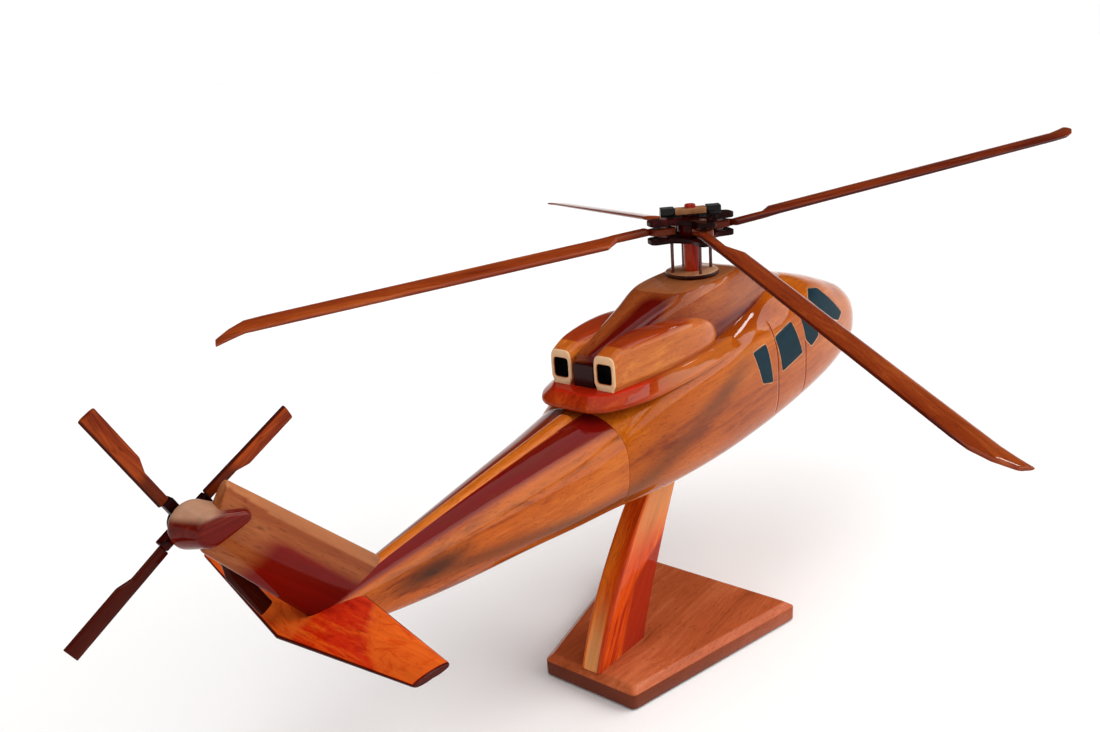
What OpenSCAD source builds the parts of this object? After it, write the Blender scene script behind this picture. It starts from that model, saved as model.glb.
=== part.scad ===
// Desktop model of a twin-engined utility helicopter in lacquered mahogany, on a wooden stand.
// Part frame: origin at the centre of the stand's underside, +X to the nose, +Y to port, +Z up.
// The aircraft is drawn in its own frame, whose origin is the rotor hub, and craft() places it.

/* [Stand] */
// Length of the base board
base_l = 102.2; // [95:0.1:120]
// Width of the base board at its narrow rear end
base_w_rear = 47.6; // [40:0.1:60]
// Width of the base board at its wide front end
base_w_front = 96.4; // [80:0.1:110]
// Thickness of the base board
base_t = 10.3; // [8:0.1:14]
// Width of the chamfer round the top of the base board
base_chamfer = 3; // [1:0.1:4]
// Thickness of the post from side to side
post_t = 10; // [9:0.1:14]

/* [Place of the aircraft] */
// Height of the rotor hub above the table
hub_z = 191.9; // [188:0.1:196]
// Distance of the rotor hub ahead of the middle of the base
hub_x = 39; // [36:0.1:42]
// Nose-up attitude of the aircraft on its stand, in degrees
nose_up = 2.4; // [1.5:0.1:3]

/* [Main rotor] */
// Radius of the main rotor
rotor_r = 208; // [190:0.5:220]
// Chord of a main blade
blade_chord = 13.2; // [11:0.1:15]
// Thickness of a main blade near its root
blade_t = 3; // [2.6:0.1:3.2]
// Heading of the first blade, anticlockwise from the nose, in degrees
blade_heading = -35.5; // [-45:0.5:-20]
// Diameter of the mast
mast_d = 7; // [6:0.1:8]
// Height of the hub above the flat top of the pylon
mast_h = 24; // [23:0.1:25]

/* [Tail rotor] */
// Radius of the tail rotor
tail_r = 42.6; // [38:0.1:46]
// Width of a tail blade
tail_chord = 5.6; // [5:0.1:8]
// Heading of the first tail blade above the forward direction, in degrees
tail_heading = 26.5; // [0:0.5:45]
// Diameter of the tail rotor's steel pin
tail_pin_d = 2; // [1.8:0.1:2.2]

/* [Hidden] */

$fn = 48;
eps = 0.01;
mahogany = [0.66, 0.30, 0.12];
dark_wood = [0.20, 0.06, 0.04];
orange_wood = [0.85, 0.38, 0.10];
glass_blue = [0.10, 0.20, 0.26];

// Running clearance of a shaft in its bushing, on the radius
run_gap = 0.05;
// Gap between a turning piece and the fixed one next to it
side_gap = 0.4;

// ---- Stand -------------------------------------------------------------------------------
felt_t = 0.8;
felt_inset = 4;
chamfer_h = 2.6;
tenon = 2.5;              // depth of the post's tenon in the belly
screw_d = 3.5;
screw_head_d = 7;
screw_len = 26;
screw_x = [-39, -25];

// Side view of the post: rear and front edges, each from foot to top, bowed through a middle point
post_rear = [[-49.5, base_t], [-38.2, 47.4], [0.5, 88]];
post_front = [[-14.4, base_t], [-1, 48.6], [21.5, 88]];

// ---- Aircraft outlines, in the hub's frame ----------------------------------------------------
// Cross-sections from tail to nose: [x, half width, top, widest height, bottom, top and bottom power]
cabin_rows = [
    [-91, 23.5, -57.6, -76, -100, 2.3, 2.9],
    [-60, 27.4, -53, -77, -103.4, 5, 3.1],
    [-20, 29.2, -50, -78, -106, 5, 3.3],
    [20, 29.5, -44, -78.5, -106.6, 3, 3.4],
    [50, 29.2, -39, -78, -106.2, 2.6, 3.4],
    [75, 28.6, -41, -79, -105.4, 2.5, 3.2],
    [97, 27.3, -46.5, -80.5, -104.2, 2.5, 3],
    [115, 25.3, -52.5, -81.5, -102.6, 2.5, 2.8],
    [130, 22.8, -58.2, -82.5, -100.4, 2.6, 2.6],
    [142, 19, -65, -83.5, -98, 2.6, 2.4],
    [150, 13.8, -71.8, -84.5, -94.6, 2.4, 2.2],
    [155.5, 6.5, -78.6, -85.5, -90.5, 2, 2]];
boom_rows = [
    [-227, 3.6, -74.4, -78.6, -83.4, 2, 2],
    [-215, 5.8, -71.6, -79.2, -86, 2, 2.2],
    [-195, 8.8, -68.8, -79.2, -89.8, 2, 2.4],
    [-170, 12.4, -65.8, -79, -93.2, 2, 2.5],
    [-140, 16.8, -62.4, -78, -95.8, 2, 2.6],
    [-115, 20.6, -59.8, -77, -98, 2, 2.8],
    [-91, 23.5, -57.6, -76, -100, 2.3, 2.9]];
pylon_rows = [
    [-84, 6.6, -36.6, -52, -60, 4, 2],
    [-66, 9.8, -32.2, -52, -60, 4.4, 2],
    [-46, 13, -27.2, -52, -60, 5, 2],
    [-26, 16.6, -23.2, -52, -60, 6.5, 2],
    [-4, 17.6, -22.4, -52, -60, 6.5, 2],
    [16, 16.6, -23.2, -52, -60, 6.5, 2],
    [40, 14.8, -29, -52, -60, 4.4, 2],
    [61, 12.6, -35.6, -52, -60, 3.4, 2],
    [81, 9, -42.6, -52, -60, 3, 2]];
nacelle_rows = [
    [-86.5, 5, -35.4, -45, -60, 5, 2],
    [-75, 6.6, -32.4, -45, -60, 5, 2],
    [-55, 8.2, -32, -45, -60, 5, 2],
    [-35, 8.6, -33.4, -45.5, -60, 4.4, 2],
    [-20, 7.6, -37.4, -46.5, -60, 3.2, 2],
    [-12, 5.2, -42.2, -47.5, -60, 2.4, 2],
    [-9, 2.6, -46.2, -49, -60, 2.2, 2]];
nacelle_y = [10.6, 11.2, 12.8, 13.8, 13.8, 13.4, 13.2];
loft_steps = 2;
loft_sides = 32;

deck_top = -49.6;
deck_bottom = -55.2;
deck_slope = 4.6;        // how far the deck's edge slopes in from its bottom to its top
deck_outline = [[14, 21], [4, 25], [-20, 27], [-50, 27], [-75, 24.6], [-88, 20], [-95, 15], [-98, 10]];

// Window outlines in side view, x and z, and the windscreen half in front view, y and z
window_t = 0.6;
window_proud = 0.2;
aft_pane = [[3.2, -59], [17, -58.8], [20.8, -78.5], [10.7, -76]];
mid_pane = [[27, -58.5], [45.6, -56], [53.6, -74], [31, -76.5]];
fwd_pane = [[56, -55], [62, -54.5], [74.2, -71], [64.7, -74], [58.2, -69]];
cockpit_pane = [[72, -52], [79, -48.8], [91, -51.5], [111, -69.5], [104, -72], [88, -66]];
windscreen_pane = [[1.2, -57.5], [13, -60], [18.5, -74], [1.2, -73]];

// Fin corners in side view, and the stabilator's half plan
fin_le = [[-191, -77.5], [-247, -21.4]];
fin_te = [[-226, -79], [-258.5, -38]];
fin_t = [6.4, 5];
stab_span = 56.8;
stab_root = [-210, -240.6];   // leading and trailing edge at the middle
stab_tip = [-220.8, -233.2];
stab_x = -226;                // the stabilator sits slightly askew, turned about this point
stab_turn = -5.7;
stab_z = -76.2;
stab_rise = 4.6;              // height of a tip above the middle
stab_t = [3.6, 2.4];

// ---- Main rotor, heights measured from the hub ---------------------------------------------
plate_t = 2.4;
plate_low = -7.8;             // underside of the lower hub plate
plate_gap = 5.6;              // clear height between the two plates
plate_high = plate_low + plate_t + plate_gap;
plate_reach = 20;
arm_w = 8.4;
root_t = 3.2;
root_z = plate_low + plate_t + plate_gap / 2;
root_w = 6.5;
root_in = 8.5;
pivot_r = 17;                 // where a blade leaves its level root and droops
bolt_r = 13;
bolt_d = 1.8;
head_d = 3.4;
head_t = 0.5;
washer_d = 5.2;
stub_d = 5;                   // the mast's upper, thinner length
stub_top = 8.1;
bush_wall = 1.2;
bush_len = 20;
ring_r = 12;
ring_t = 1.6;
rod_r = 9.3;
rod_d = 1.5;
absorber_heading = -51;
weight_r = 10.2;
weight_size = [6.6, 5.8, 3.8];
bar_z = 3.8;
bar_t = 2.6;
// Droop of each blade, and twist of its leading edge downward, in degrees: they were fitted by hand
droop = [-6.3, 5.7, 4.7, 9.5];
twist = [3, 8, -10, -10];
// How far each blade's tip is swept back, as a share of its usual sweep
sweep = [1.3, 1, 1.7, 1];
// Main blade stations: [radius share, leading edge, trailing edge, thickness share]; chord shares
le = -0.43;
te = 0.5;
neck_te = 0.06;
blade_rows = [[0.1, le, neck_te, 1], [0.14, le, neck_te, 1], [0.17, le, neck_te, 0.96],
    [0.2, le, te, 0.9], [0.55, le, te, 0.84], [0.91, le, te, 0.74], [0.945, le + 0.04, te, 0.7],
    [0.975, le + 0.24, te + 0.06, 0.6], [1, le + 0.6, te + 0.14, 0.46]];
// Extra sweep of a station, in chords
function swept(r, i) = (sweep[i] - 1) * 9 * max(0, r[0] - 0.945);

// ---- Tail rotor ------------------------------------------------------------------------------
tail_x = -256.4;
tail_z = -32.2;
gear_r = 7;
gear_y = [-4.6, 6.2];
tail_hub_y = gear_y[1] + side_gap;
tail_hub_t = 4;
tail_hub_r = 4.4;
tail_arm = 9;
tail_arm_w = 3.2;
tail_bush_wall = 1;
tail_blade_t = 1.8;
// Turn of each tail blade away from its place, in degrees
tail_lag = [0.8, 0, -2.5, 0];
// Tail blade stations: [radius share, lower edge, upper edge], edges as shares of the chord
tail_rows = [[tail_arm / tail_r, -0.46, 0.18], [0.46, -0.46, 0.18], [0.56, -0.46, 0.47],
    [1, -0.46, 0.47]];

// ---- Shapes ----------------------------------------------------------------------------------
function spow(v, e) = sign(v) * pow(abs(v), e);

// Point on a smooth curve between b and c, with a and d as the neighbours
function spline(a, b, c, d, t) =
    0.5 * (2 * b + (c - a) * t + (2 * a - 5 * b + 4 * c - d) * t * t
        + (3 * b - a - 3 * c + d) * t * t * t);

function smooth_rows(rows, steps) = let (last = len(rows) - 1) [
    for (i = [0 : last - 1], k = [0 : steps - 1])
        spline(rows[max(i - 1, 0)], rows[i], rows[i + 1], rows[min(i + 2, last)], k / steps),
    rows[last]];

// One cross-section of a carved body, grown outward by grow
function section(r, yc, grow) = [for (k = [0 : loft_sides - 1])
    let (a = 360 * (k + 0.5) / loft_sides, up = sin(a) > 0,
         h = up ? r[2] - r[3] : r[3] - r[4], n = up ? r[5] : r[6])
    [r[0], yc + (r[1] + grow) * spow(cos(a), 2 / n), r[3] + (h + grow) * spow(sin(a), 2 / n)]];

// Closed skin over a list of rings with equal point counts
module skin(rings) {
    m = len(rings[0]);
    last = len(rings) - 1;
    faces = [[for (k = [0 : m - 1]) k],
        [for (k = [m - 1 : -1 : 0]) last * m + k],
        for (i = [0 : last - 1], k = [0 : m - 1])
            let (a = i * m + k, b = i * m + (k + 1) % m)
            each [[a, a + m, b], [b, a + m, b + m]]];
    polyhedron([for (ring = rings) each ring], faces, 4);
}

module carved(rows, grow = 0) {
    skin([for (r = smooth_rows(rows, loft_steps)) section(r, 0, grow)]);
}

// Lens section across a blade or fin, from leading point p to trailing point q
function lens(p, q, t, across) = let (c = (p + q) / 2, h = (q - p) / 2)
    [for (a = [0 : 30 : 330]) c + h * cos(a) + across * t / 2 * spow(sin(a), 0.8)];

// Puts the aircraft, drawn round its hub, on the stand
module craft() {
    translate([hub_x, 0, hub_z]) rotate([0, -nose_up, 0]) children();
}

module mirrored(side) {
    if (side > 0) children();
    else mirror([0, 1, 0]) children();
}

module at_blade(i) {
    rotate([0, 0, blade_heading + 90 * i]) children();
}

// ---- Stand pieces ------------------------------------------------------------------------------
module base_outline(inset) {
    x = base_l / 2 - inset;
    polygon([[-x, -base_w_rear / 2 + inset], [x, -base_w_front / 2 + 1.3 * inset],
        [x, base_w_front / 2 - 1.3 * inset], [-x, base_w_rear / 2 - inset]]);
}

module stand_base() {
    color(mahogany) difference() {
        hull() {
            translate([0, 0, felt_t]) linear_extrude(base_t - felt_t - chamfer_h) base_outline(0);
            translate([0, 0, felt_t]) linear_extrude(base_t - felt_t) base_outline(base_chamfer);
        }
        screws();
    }
}

module base_felt() {
    color([0.12, 0.25, 0.16]) difference() {
        linear_extrude(felt_t) base_outline(felt_inset);
        for (x = screw_x) translate([x, 0, -eps]) cylinder(d = screw_head_d + 1, h = felt_t + 2 * eps);
    }
}

function bow(p, t) = (1 - t) * (1 - t) * p[0] + 2 * t * (1 - t) * p[1] + t * t * p[2];

module post_blank() {
    rotate([90, 0, 0]) translate([0, 0, -post_t / 2]) linear_extrude(post_t)
        polygon([for (t = [0 : 0.125 : 1]) bow(post_rear, t),
            for (t = [1 : -0.125 : 0]) bow(post_front, t)]);
}

module stand_post() {
    color(orange_wood) difference() {
        post_blank();
        craft() belly_plane();
        screws();
    }
}

// Everything above the tenon's shoulder line inside the belly
module belly_plane() {
    translate([-150, -post_t, -103.5 + tenon]) cube([200, 2 * post_t, 40]);
}

module screws() {
    for (x = screw_x) translate([x, 0, felt_t]) {
        cylinder(d1 = screw_head_d, d2 = screw_d, h = 2.6);
        cylinder(d = screw_d, h = screw_len);
    }
}

module post_screws() {
    color("silver") screws();
}

// ---- Body ----------------------------------------------------------------------------------------
module deck_level(z, h, inset) {
    share = (deck_outline[2][1] - inset) / deck_outline[2][1];
    edge = [for (p = deck_outline) [p[0] < 0 ? p[0] + inset : p[0], p[1] * share]];
    translate([0, 0, z]) linear_extrude(h)
        polygon([for (p = edge) p, for (i = [len(edge) - 1 : -1 : 0]) [edge[i][0], -edge[i][1]]]);
}

module deck_blank() {
    hull() {
        deck_level(deck_bottom, 1.6, 0);
        deck_level(deck_bottom, deck_top - deck_bottom, deck_slope);
    }
}

module pylon_blank() {
    intersection() {
        carved(pylon_rows);
        translate([-120, -40, deck_top]) cube([240, 80, -mast_h - deck_top]);
    }
}

// A pane's outline pushed through one side of the cabin
module side_cutter(pane, side) {
    mirrored(side) translate([0, 45, 0]) rotate([90, 0, 0]) linear_extrude(35) polygon(pane);
}

module front_cutter(side) {
    mirrored(side) translate([112, 0, 0]) rotate([90, 0, 90]) linear_extrude(45)
        polygon(windscreen_pane);
}

module all_cutters() {
    for (side = [1, -1]) {
        for (pane = [aft_pane, mid_pane, fwd_pane, cockpit_pane]) side_cutter(pane, side);
        front_cutter(side);
    }
}

module cabin_body() {
    color(mahogany) difference() {
        craft() difference() {
            carved(cabin_rows);
            deck_blank();
            pylon_blank();
            difference() {
                all_cutters();
                carved(cabin_rows, window_proud - window_t);
            }
        }
        stand_post();
    }
}

// One pane, lying in its pocket and standing slightly proud
module pane() {
    color(glass_blue) craft() intersection() {
        children();
        difference() {
            carved(cabin_rows, window_proud);
            carved(cabin_rows, window_proud - window_t);
        }
    }
}

module side_pane(outline, side) {
    pane() side_cutter(outline, side);
}

module windscreen(side) {
    pane() front_cutter(side);
}

module engine_deck() {
    color(mahogany) craft() deck_blank();
}

module pylon() {
    bore_r = mast_d / 2 + run_gap + bush_wall;
    color(mahogany) craft() difference() {
        pylon_blank();
        translate([0, 0, -mast_h - bush_len - 1]) cylinder(r = bore_r, h = bush_len + 2);
    }
}

function nacelle_rings(side) = let (fine = smooth_rows([for (i = [0 : len(nacelle_rows) - 1])
    concat(nacelle_rows[i], nacelle_y[i])], loft_steps)) [for (r = fine) section(r, side * r[7], 0)];

module exhaust_space(side, wall) {
    translate([-87.5, side * nacelle_y[0], -42.6]) cube([15 - 2 * wall, 7.4 - 2 * wall, 8.4 - 2 * wall],
        center = true);
}

module nacelle(side) {
    color(mahogany) craft() difference() {
        skin(nacelle_rings(side));
        translate([-100, -40, deck_top - 30]) cube([110, 80, 30]);
        pylon_blank();
        exhaust_space(side, 0);
    }
}

module exhaust_liner(side) {
    color([0.04, 0.04, 0.04]) craft() intersection() {
        difference() {
            exhaust_space(side, 0);
            translate([-2, 0, 0]) exhaust_space(side, 0.6);
        }
        difference() {
            translate([-86.2, -40, -60]) cube([20, 80, 40]);
            pylon_blank();
        }
    }
}

module rear_vent() {
    color([0.08, 0.03, 0.03]) craft() translate([-86, -4.8, deck_top]) cube([2, 9.6, 9.4]);
}

// ---- Tail --------------------------------------------------------------------------------------
module stabilator_blank() {
    translate([stab_x, 0, 0]) rotate([0, 0, stab_turn]) translate([-stab_x, 0, 0])
        skin([for (s = [-1, -0.5, 0, 0.5, 1]) let (f = abs(s), z = stab_z + f * stab_rise)
            lens([stab_root[0] + f * (stab_tip[0] - stab_root[0]), s * stab_span, z],
                [stab_root[1] + f * (stab_tip[1] - stab_root[1]), s * stab_span, z],
                stab_t[0] + f * (stab_t[1] - stab_t[0]), [0, 0, 1])]);
}

module fin_blank() {
    skin([for (s = [1, 0]) lens([fin_le[s][0], 0, fin_le[s][1]], [fin_te[s][0], 0, fin_te[s][1]],
        fin_t[s], [0, 1, 0])]);
}

module spine_blank() {
    hull() for (end = [[-99, -58.8, 3.4], [-203, -70.8, 2.2]])
        translate([end[0], 0, end[1]]) rotate([0, 90, 0]) scale([0.62, 1, 1]) cylinder(r = end[2], h = 1);
}

module gearbox_blank() {
    translate([tail_x, 0, tail_z]) hull() {
        translate([0, gear_y[1], 0]) rotate([90, 0, 0]) cylinder(r = gear_r, h = 1.5, $fn = 32);
        translate([0.6, gear_y[0] + 1, 0]) rotate([90, 0, 0]) cylinder(r = gear_r - 2.2, h = 1, $fn = 32);
        translate([11, gear_y[0] + 2, -0.6]) sphere(r = 2.2, $fn = 24);
    }
}

module tail_boom() {
    color(mahogany) craft() difference() {
        carved(boom_rows);
        stabilator_blank();
    }
}

module tail_spine() {
    color(mahogany) craft() difference() {
        spine_blank();
        carved(boom_rows);
        fin_blank();
    }
}

module tail_fin() {
    color(mahogany) craft() difference() {
        fin_blank();
        carved(boom_rows);
        stabilator_blank();
        gearbox_blank();
        translate([-260, -10, stab_z - 20]) cube([80, 20, 20]);
    }
}

module stabilator() {
    color(orange_wood) craft() stabilator_blank();
}

// ---- Rotating head --------------------------------------------------------------------------------
module mast_bushing() {
    r = mast_d / 2 + run_gap;
    color("goldenrod") craft() translate([0, 0, -mast_h - bush_len]) difference() {
        cylinder(r = r + bush_wall, h = bush_len);
        translate([0, 0, -eps]) cylinder(r = r, h = bush_len + 2 * eps);
    }
}

module mast() {
    bottom = -mast_h - bush_len - 0.5;
    color(mahogany) craft() {
        translate([0, 0, bottom]) cylinder(d = mast_d, h = plate_low - bottom);
        translate([0, 0, plate_low]) cylinder(d = stub_d, h = stub_top - plate_low);
    }
}

module swash_ring() {
    color(dark_wood) craft() translate([0, 0, -mast_h + side_gap]) difference() {
        cylinder(r = ring_r, h = ring_t);
        translate([0, 0, -eps]) cylinder(d = mast_d, h = ring_t + 2 * eps);
    }
}

module pitch_rods() {
    low = -mast_h + side_gap + ring_t;
    color("dimgray") craft() for (i = [0 : 3]) at_blade(i)
        translate([rod_r, 0, low]) cylinder(d = rod_d, h = plate_low - low);
}

// One arm's outline, seen from above with the arm along +X
arm_edge = [[7.4, -7.4], [11, -arm_w / 2], [plate_reach - 1.6, -arm_w / 2],
    [plate_reach, -arm_w / 2 + 1.6], [plate_reach, arm_w / 2 - 1.6], [plate_reach - 1.6, arm_w / 2],
    [11, arm_w / 2]];

function turned(p, a) = [p[0] * cos(a) - p[1] * sin(a), p[0] * sin(a) + p[1] * cos(a)];

module hub_plate(z) {
    color(dark_wood) craft() difference() {
        translate([0, 0, z]) linear_extrude(plate_t)
            polygon([for (i = [0 : 3], p = arm_edge) turned(p, blade_heading + 90 * i)]);
        translate([0, 0, z - eps]) cylinder(d = stub_d, h = plate_t + 2 * eps);
        for (i = [0 : 3]) at_blade(i) translate([bolt_r, 0, z - eps])
            cylinder(d = bolt_d, h = plate_t + 2 * eps);
    }
}

module hub_spacer() {
    color(dark_wood) craft() translate([0, 0, plate_low + plate_t]) difference() {
        cylinder(r = 6, h = plate_gap);
        translate([0, 0, -eps]) cylinder(d = stub_d, h = plate_gap + 2 * eps);
    }
}

module blade_bolts() {
    top = plate_high + plate_t;
    color("dimgray") craft() for (i = [0 : 3]) at_blade(i) translate([bolt_r, 0, 0]) {
        translate([0, 0, plate_low]) cylinder(d = bolt_d, h = top - plate_low);
        translate([0, 0, top]) cylinder(d = head_d, h = head_t);
        translate([0, 0, plate_low - head_t]) cylinder(d = head_d, h = head_t);
    }
}

module blade_washers() {
    h = (plate_gap - root_t) / 2;
    color("dimgray") craft() for (i = [0 : 3], z = [plate_low + plate_t, root_z + root_t / 2])
        at_blade(i) translate([bolt_r, 0, z]) difference() {
            cylinder(d = washer_d, h = h);
            translate([0, 0, -eps]) cylinder(d = bolt_d, h = h + 2 * eps);
        }
}

// Oblong section of a blade's root, with as many points as a lens section
function tab(r) = [for (p = [[1, 0], [1, 1], [0.5, 1], [0, 1], [-0.5, 1], [-1, 1],
    [-1, 0], [-1, -1], [-0.5, -1], [0, -1], [0.5, -1], [1, -1]])
    [r, p[0] * root_w / 2, p[1] * root_t / 2]];

// Point of a blade beyond its level root, twisted by angle b and drooped by angle a
function drooped(p, a, b) = let (d = p[0] - pivot_r, z = p[1] * sin(b) + p[2] * cos(b))
    [pivot_r + d * cos(a) + z * sin(a), p[1] * cos(b) - p[2] * sin(b), z * cos(a) - d * sin(a)];

module main_blade(i) {
    color(mahogany) craft() at_blade(i) translate([0, 0, root_z]) difference() {
        skin([tab(root_in), tab(pivot_r),
            for (r = blade_rows) [for (p = lens([r[0] * rotor_r, (r[1] + swept(r, i)) * blade_chord, 0],
                [r[0] * rotor_r, (r[2] + swept(r, i)) * blade_chord, 0], blade_t * r[3], [0, 0, 1]))
                drooped(p, droop[i], twist[i])]]);
        translate([bolt_r, 0, -root_t]) cylinder(d = bolt_d, h = 2 * root_t);
    }
}

module absorber_collar() {
    color(dark_wood) craft() translate([0, 0, plate_high + plate_t]) difference() {
        cylinder(r = 3.7, h = bar_z - plate_high - plate_t);
        translate([0, 0, -eps]) cylinder(d = stub_d, h = 3);
    }
}

module absorber_bar() {
    half = weight_r - weight_size[0] / 2;
    color(mahogany) craft() rotate([0, 0, absorber_heading]) difference() {
        translate([-half, -2.8, bar_z]) cube([2 * half, 5.6, bar_t]);
        translate([0, 0, bar_z - eps]) cylinder(d = stub_d, h = bar_t + 2 * eps);
    }
}

module absorber_weights() {
    color([0.05, 0.03, 0.03]) craft() for (side = [1, -1]) rotate([0, 0, absorber_heading])
        translate([side * weight_r - weight_size[0] / 2, -weight_size[1] / 2,
            bar_z + bar_t / 2 - weight_size[2] / 2]) cube(weight_size);
}

// ---- Tail rotor ----------------------------------------------------------------------------------
module on_tail_axis(y) {
    craft() translate([tail_x, y, tail_z]) rotate([-90, 0, 0]) children();
}

module tail_gearbox() {
    r = tail_pin_d / 2 + run_gap + tail_bush_wall;
    color(mahogany) difference() {
        craft() gearbox_blank();
        on_tail_axis(-1) cylinder(r = r, h = 20);
    }
}

module tail_bushing() {
    r = tail_pin_d / 2 + run_gap;
    color("goldenrod") on_tail_axis(-0.5) difference() {
        cylinder(r = r + tail_bush_wall, h = gear_y[1] + 0.5);
        translate([0, 0, -eps]) cylinder(r = r, h = 20);
    }
}

module tail_pin() {
    color("silver") on_tail_axis(-0.5) cylinder(d = tail_pin_d, h = tail_hub_y + tail_hub_t + 0.5);
}

module tail_hub() {
    color(dark_wood) on_tail_axis(tail_hub_y) difference() {
        union() {
            cylinder(r = tail_hub_r, h = tail_hub_t);
            for (i = [0 : 3]) rotate([0, 0, -tail_heading + 90 * i])
                translate([0, -tail_arm_w / 2, 0.5]) cube([tail_arm, tail_arm_w, tail_hub_t - 1]);
        }
        translate([0, 0, -eps]) cylinder(d = tail_pin_d, h = tail_hub_t + 2 * eps);
    }
}

module tail_cap() {
    color("goldenrod") on_tail_axis(tail_hub_y + tail_hub_t) rotate_extrude()
        intersection() {
            translate([0, -2.4]) circle(r = 3.4);
            square([3, 3]);
        }
}

module tail_blade(i) {
    color(mahogany) on_tail_axis(tail_hub_y + tail_hub_t / 2)
        rotate([0, 0, -tail_heading + 90 * i + tail_lag[i]])
        skin([for (r = tail_rows) lens([r[0] * tail_r, r[1] * tail_chord, 0],
            [r[0] * tail_r, r[2] * tail_chord, 0], tail_blade_t, [0, 0, 1])]);
}

// ---- One call per sub-part --------------------------------------------------------------------------
stand_base();
base_felt();
stand_post();
post_screws();
cabin_body();
tail_boom();
tail_spine();
tail_fin();
stabilator();
engine_deck();
pylon();
nacelle(-1);  // nacelle_stbd
nacelle(1);  // nacelle_port
exhaust_liner(-1);  // exhaust_liner_stbd
exhaust_liner(1);  // exhaust_liner_port
rear_vent();
side_pane(aft_pane, -1);  // window_aft_stbd
side_pane(aft_pane, 1);  // window_aft_port
side_pane(mid_pane, -1);  // window_mid_stbd
side_pane(mid_pane, 1);  // window_mid_port
side_pane(fwd_pane, -1);  // window_fwd_stbd
side_pane(fwd_pane, 1);  // window_fwd_port
side_pane(cockpit_pane, -1);  // window_cockpit_stbd
side_pane(cockpit_pane, 1);  // window_cockpit_port
windscreen(-1);  // windscreen_stbd
windscreen(1);  // windscreen_port
mast_bushing();
mast();
swash_ring();
pitch_rods();
hub_plate(plate_low);  // hub_plate_lower
hub_spacer();
hub_plate(plate_high);  // hub_plate_upper
blade_bolts();
blade_washers();
main_blade(0);  // main_blade_1
main_blade(1);  // main_blade_2
main_blade(2);  // main_blade_3
main_blade(3);  // main_blade_4
absorber_collar();
absorber_bar();
absorber_weights();
tail_gearbox();
tail_bushing();
tail_pin();
tail_hub();
tail_cap();
tail_blade(0);  // tail_blade_1
tail_blade(1);  // tail_blade_2
tail_blade(2);  // tail_blade_3
tail_blade(3);  // tail_blade_4
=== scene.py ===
"""Looks for a lacquered mahogany desk model of a helicopter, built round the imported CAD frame.

Shapes are worked out in millimetres in the aircraft's own frame (origin at the rotor hub, +X to the
nose, +Y to port, +Z up), as in the CAD source, and then placed on the stand and turned into metres.
"""
import math

import bmesh
import bpy
import numpy as np
from mathutils import Matrix, Vector


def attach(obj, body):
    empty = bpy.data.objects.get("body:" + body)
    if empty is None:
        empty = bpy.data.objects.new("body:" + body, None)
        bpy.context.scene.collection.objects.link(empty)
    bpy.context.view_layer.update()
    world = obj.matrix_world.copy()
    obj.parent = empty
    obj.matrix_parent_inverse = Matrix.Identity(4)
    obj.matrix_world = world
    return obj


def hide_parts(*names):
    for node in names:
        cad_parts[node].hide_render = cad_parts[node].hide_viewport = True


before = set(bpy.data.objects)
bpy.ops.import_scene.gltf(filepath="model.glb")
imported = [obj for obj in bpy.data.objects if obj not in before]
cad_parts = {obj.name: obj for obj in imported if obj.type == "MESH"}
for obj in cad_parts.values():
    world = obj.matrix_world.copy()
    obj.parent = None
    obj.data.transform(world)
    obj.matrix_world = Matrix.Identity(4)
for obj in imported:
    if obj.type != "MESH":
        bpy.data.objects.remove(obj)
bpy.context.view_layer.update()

MM = 0.001
HUB = Vector((39, 0, 191.9))
NOSE_UP = math.radians(2.4)
CRAFT = Matrix.Translation(HUB) @ Matrix.Rotation(-NOSE_UP, 4, "Y")
STAND = Matrix.Identity(4)


# ---- Camera, lights and floor ----
IMAGE_WIDTH, SENSOR_WIDTH = 1100, 36
FOCAL_LENGTH = 986.39  # in the same pixels as IMAGE_WIDTH
CAMERA_PLACE = Vector((-342.154, -226.01, 263.361))
CAMERA_YAW, CAMERA_PITCH, CAMERA_ROLL = 39.242, 17.137, -3.184

# Name, direction of the source, power, width in degrees, colour
SUNS = [("key", (0.58, -0.68, 0.55), 2.4, 55, (1, 0.98, 0.95)),
        ("glint", (0.77, -0.06, 0.62), 0.10, 5, (1, 1, 1)),
        ("fill", (-0.75, -0.25, 0.75), 1.0, 60, (1, 1, 1)),
        ("top", (0.1, -0.15, 1), 1.5, 70, (1, 1, 1))]
WHITE, CEILING, FLOOR_GREY = (1, 1, 1), (0.035, 0.03, 0.03), (0.95, 0.95, 0.95)
FLOOR_REACH = 60


def look_axes(yaw, pitch, roll):
    level = math.cos(pitch)
    forward = Vector((level * math.cos(yaw), level * math.sin(yaw), -math.sin(pitch)))
    side = Vector((math.sin(yaw), -math.cos(yaw), 0))
    up = side.cross(forward)
    c, s = math.cos(roll), math.sin(roll)
    return side * c + up * s, up * c - side * s, forward


def add_camera():
    angles = [math.radians(a) for a in (CAMERA_YAW, CAMERA_PITCH, CAMERA_ROLL)]
    right, up, forward = look_axes(*angles)
    data = bpy.data.cameras.new("camera")
    data.sensor_width = SENSOR_WIDTH
    data.lens = FOCAL_LENGTH * SENSOR_WIDTH / IMAGE_WIDTH
    data.clip_start, data.clip_end = 0.01, 50
    cam = bpy.data.objects.new("camera", data)
    turn = Matrix((right, up, -forward)).transposed().to_4x4()
    cam.matrix_world = Matrix.Translation(CAMERA_PLACE * MM) @ turn
    bpy.context.scene.collection.objects.link(cam)
    bpy.context.scene.camera = cam


def add_sun(name, source, power, angle, colour):
    data = bpy.data.lights.new(name, "SUN")
    data.energy = power
    data.angle = math.radians(angle)
    data.color = colour
    light = bpy.data.objects.new(name, data)
    light.rotation_euler = (-Vector(source)).to_track_quat("-Z", "Y").to_euler()
    bpy.context.scene.collection.objects.link(light)


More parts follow.
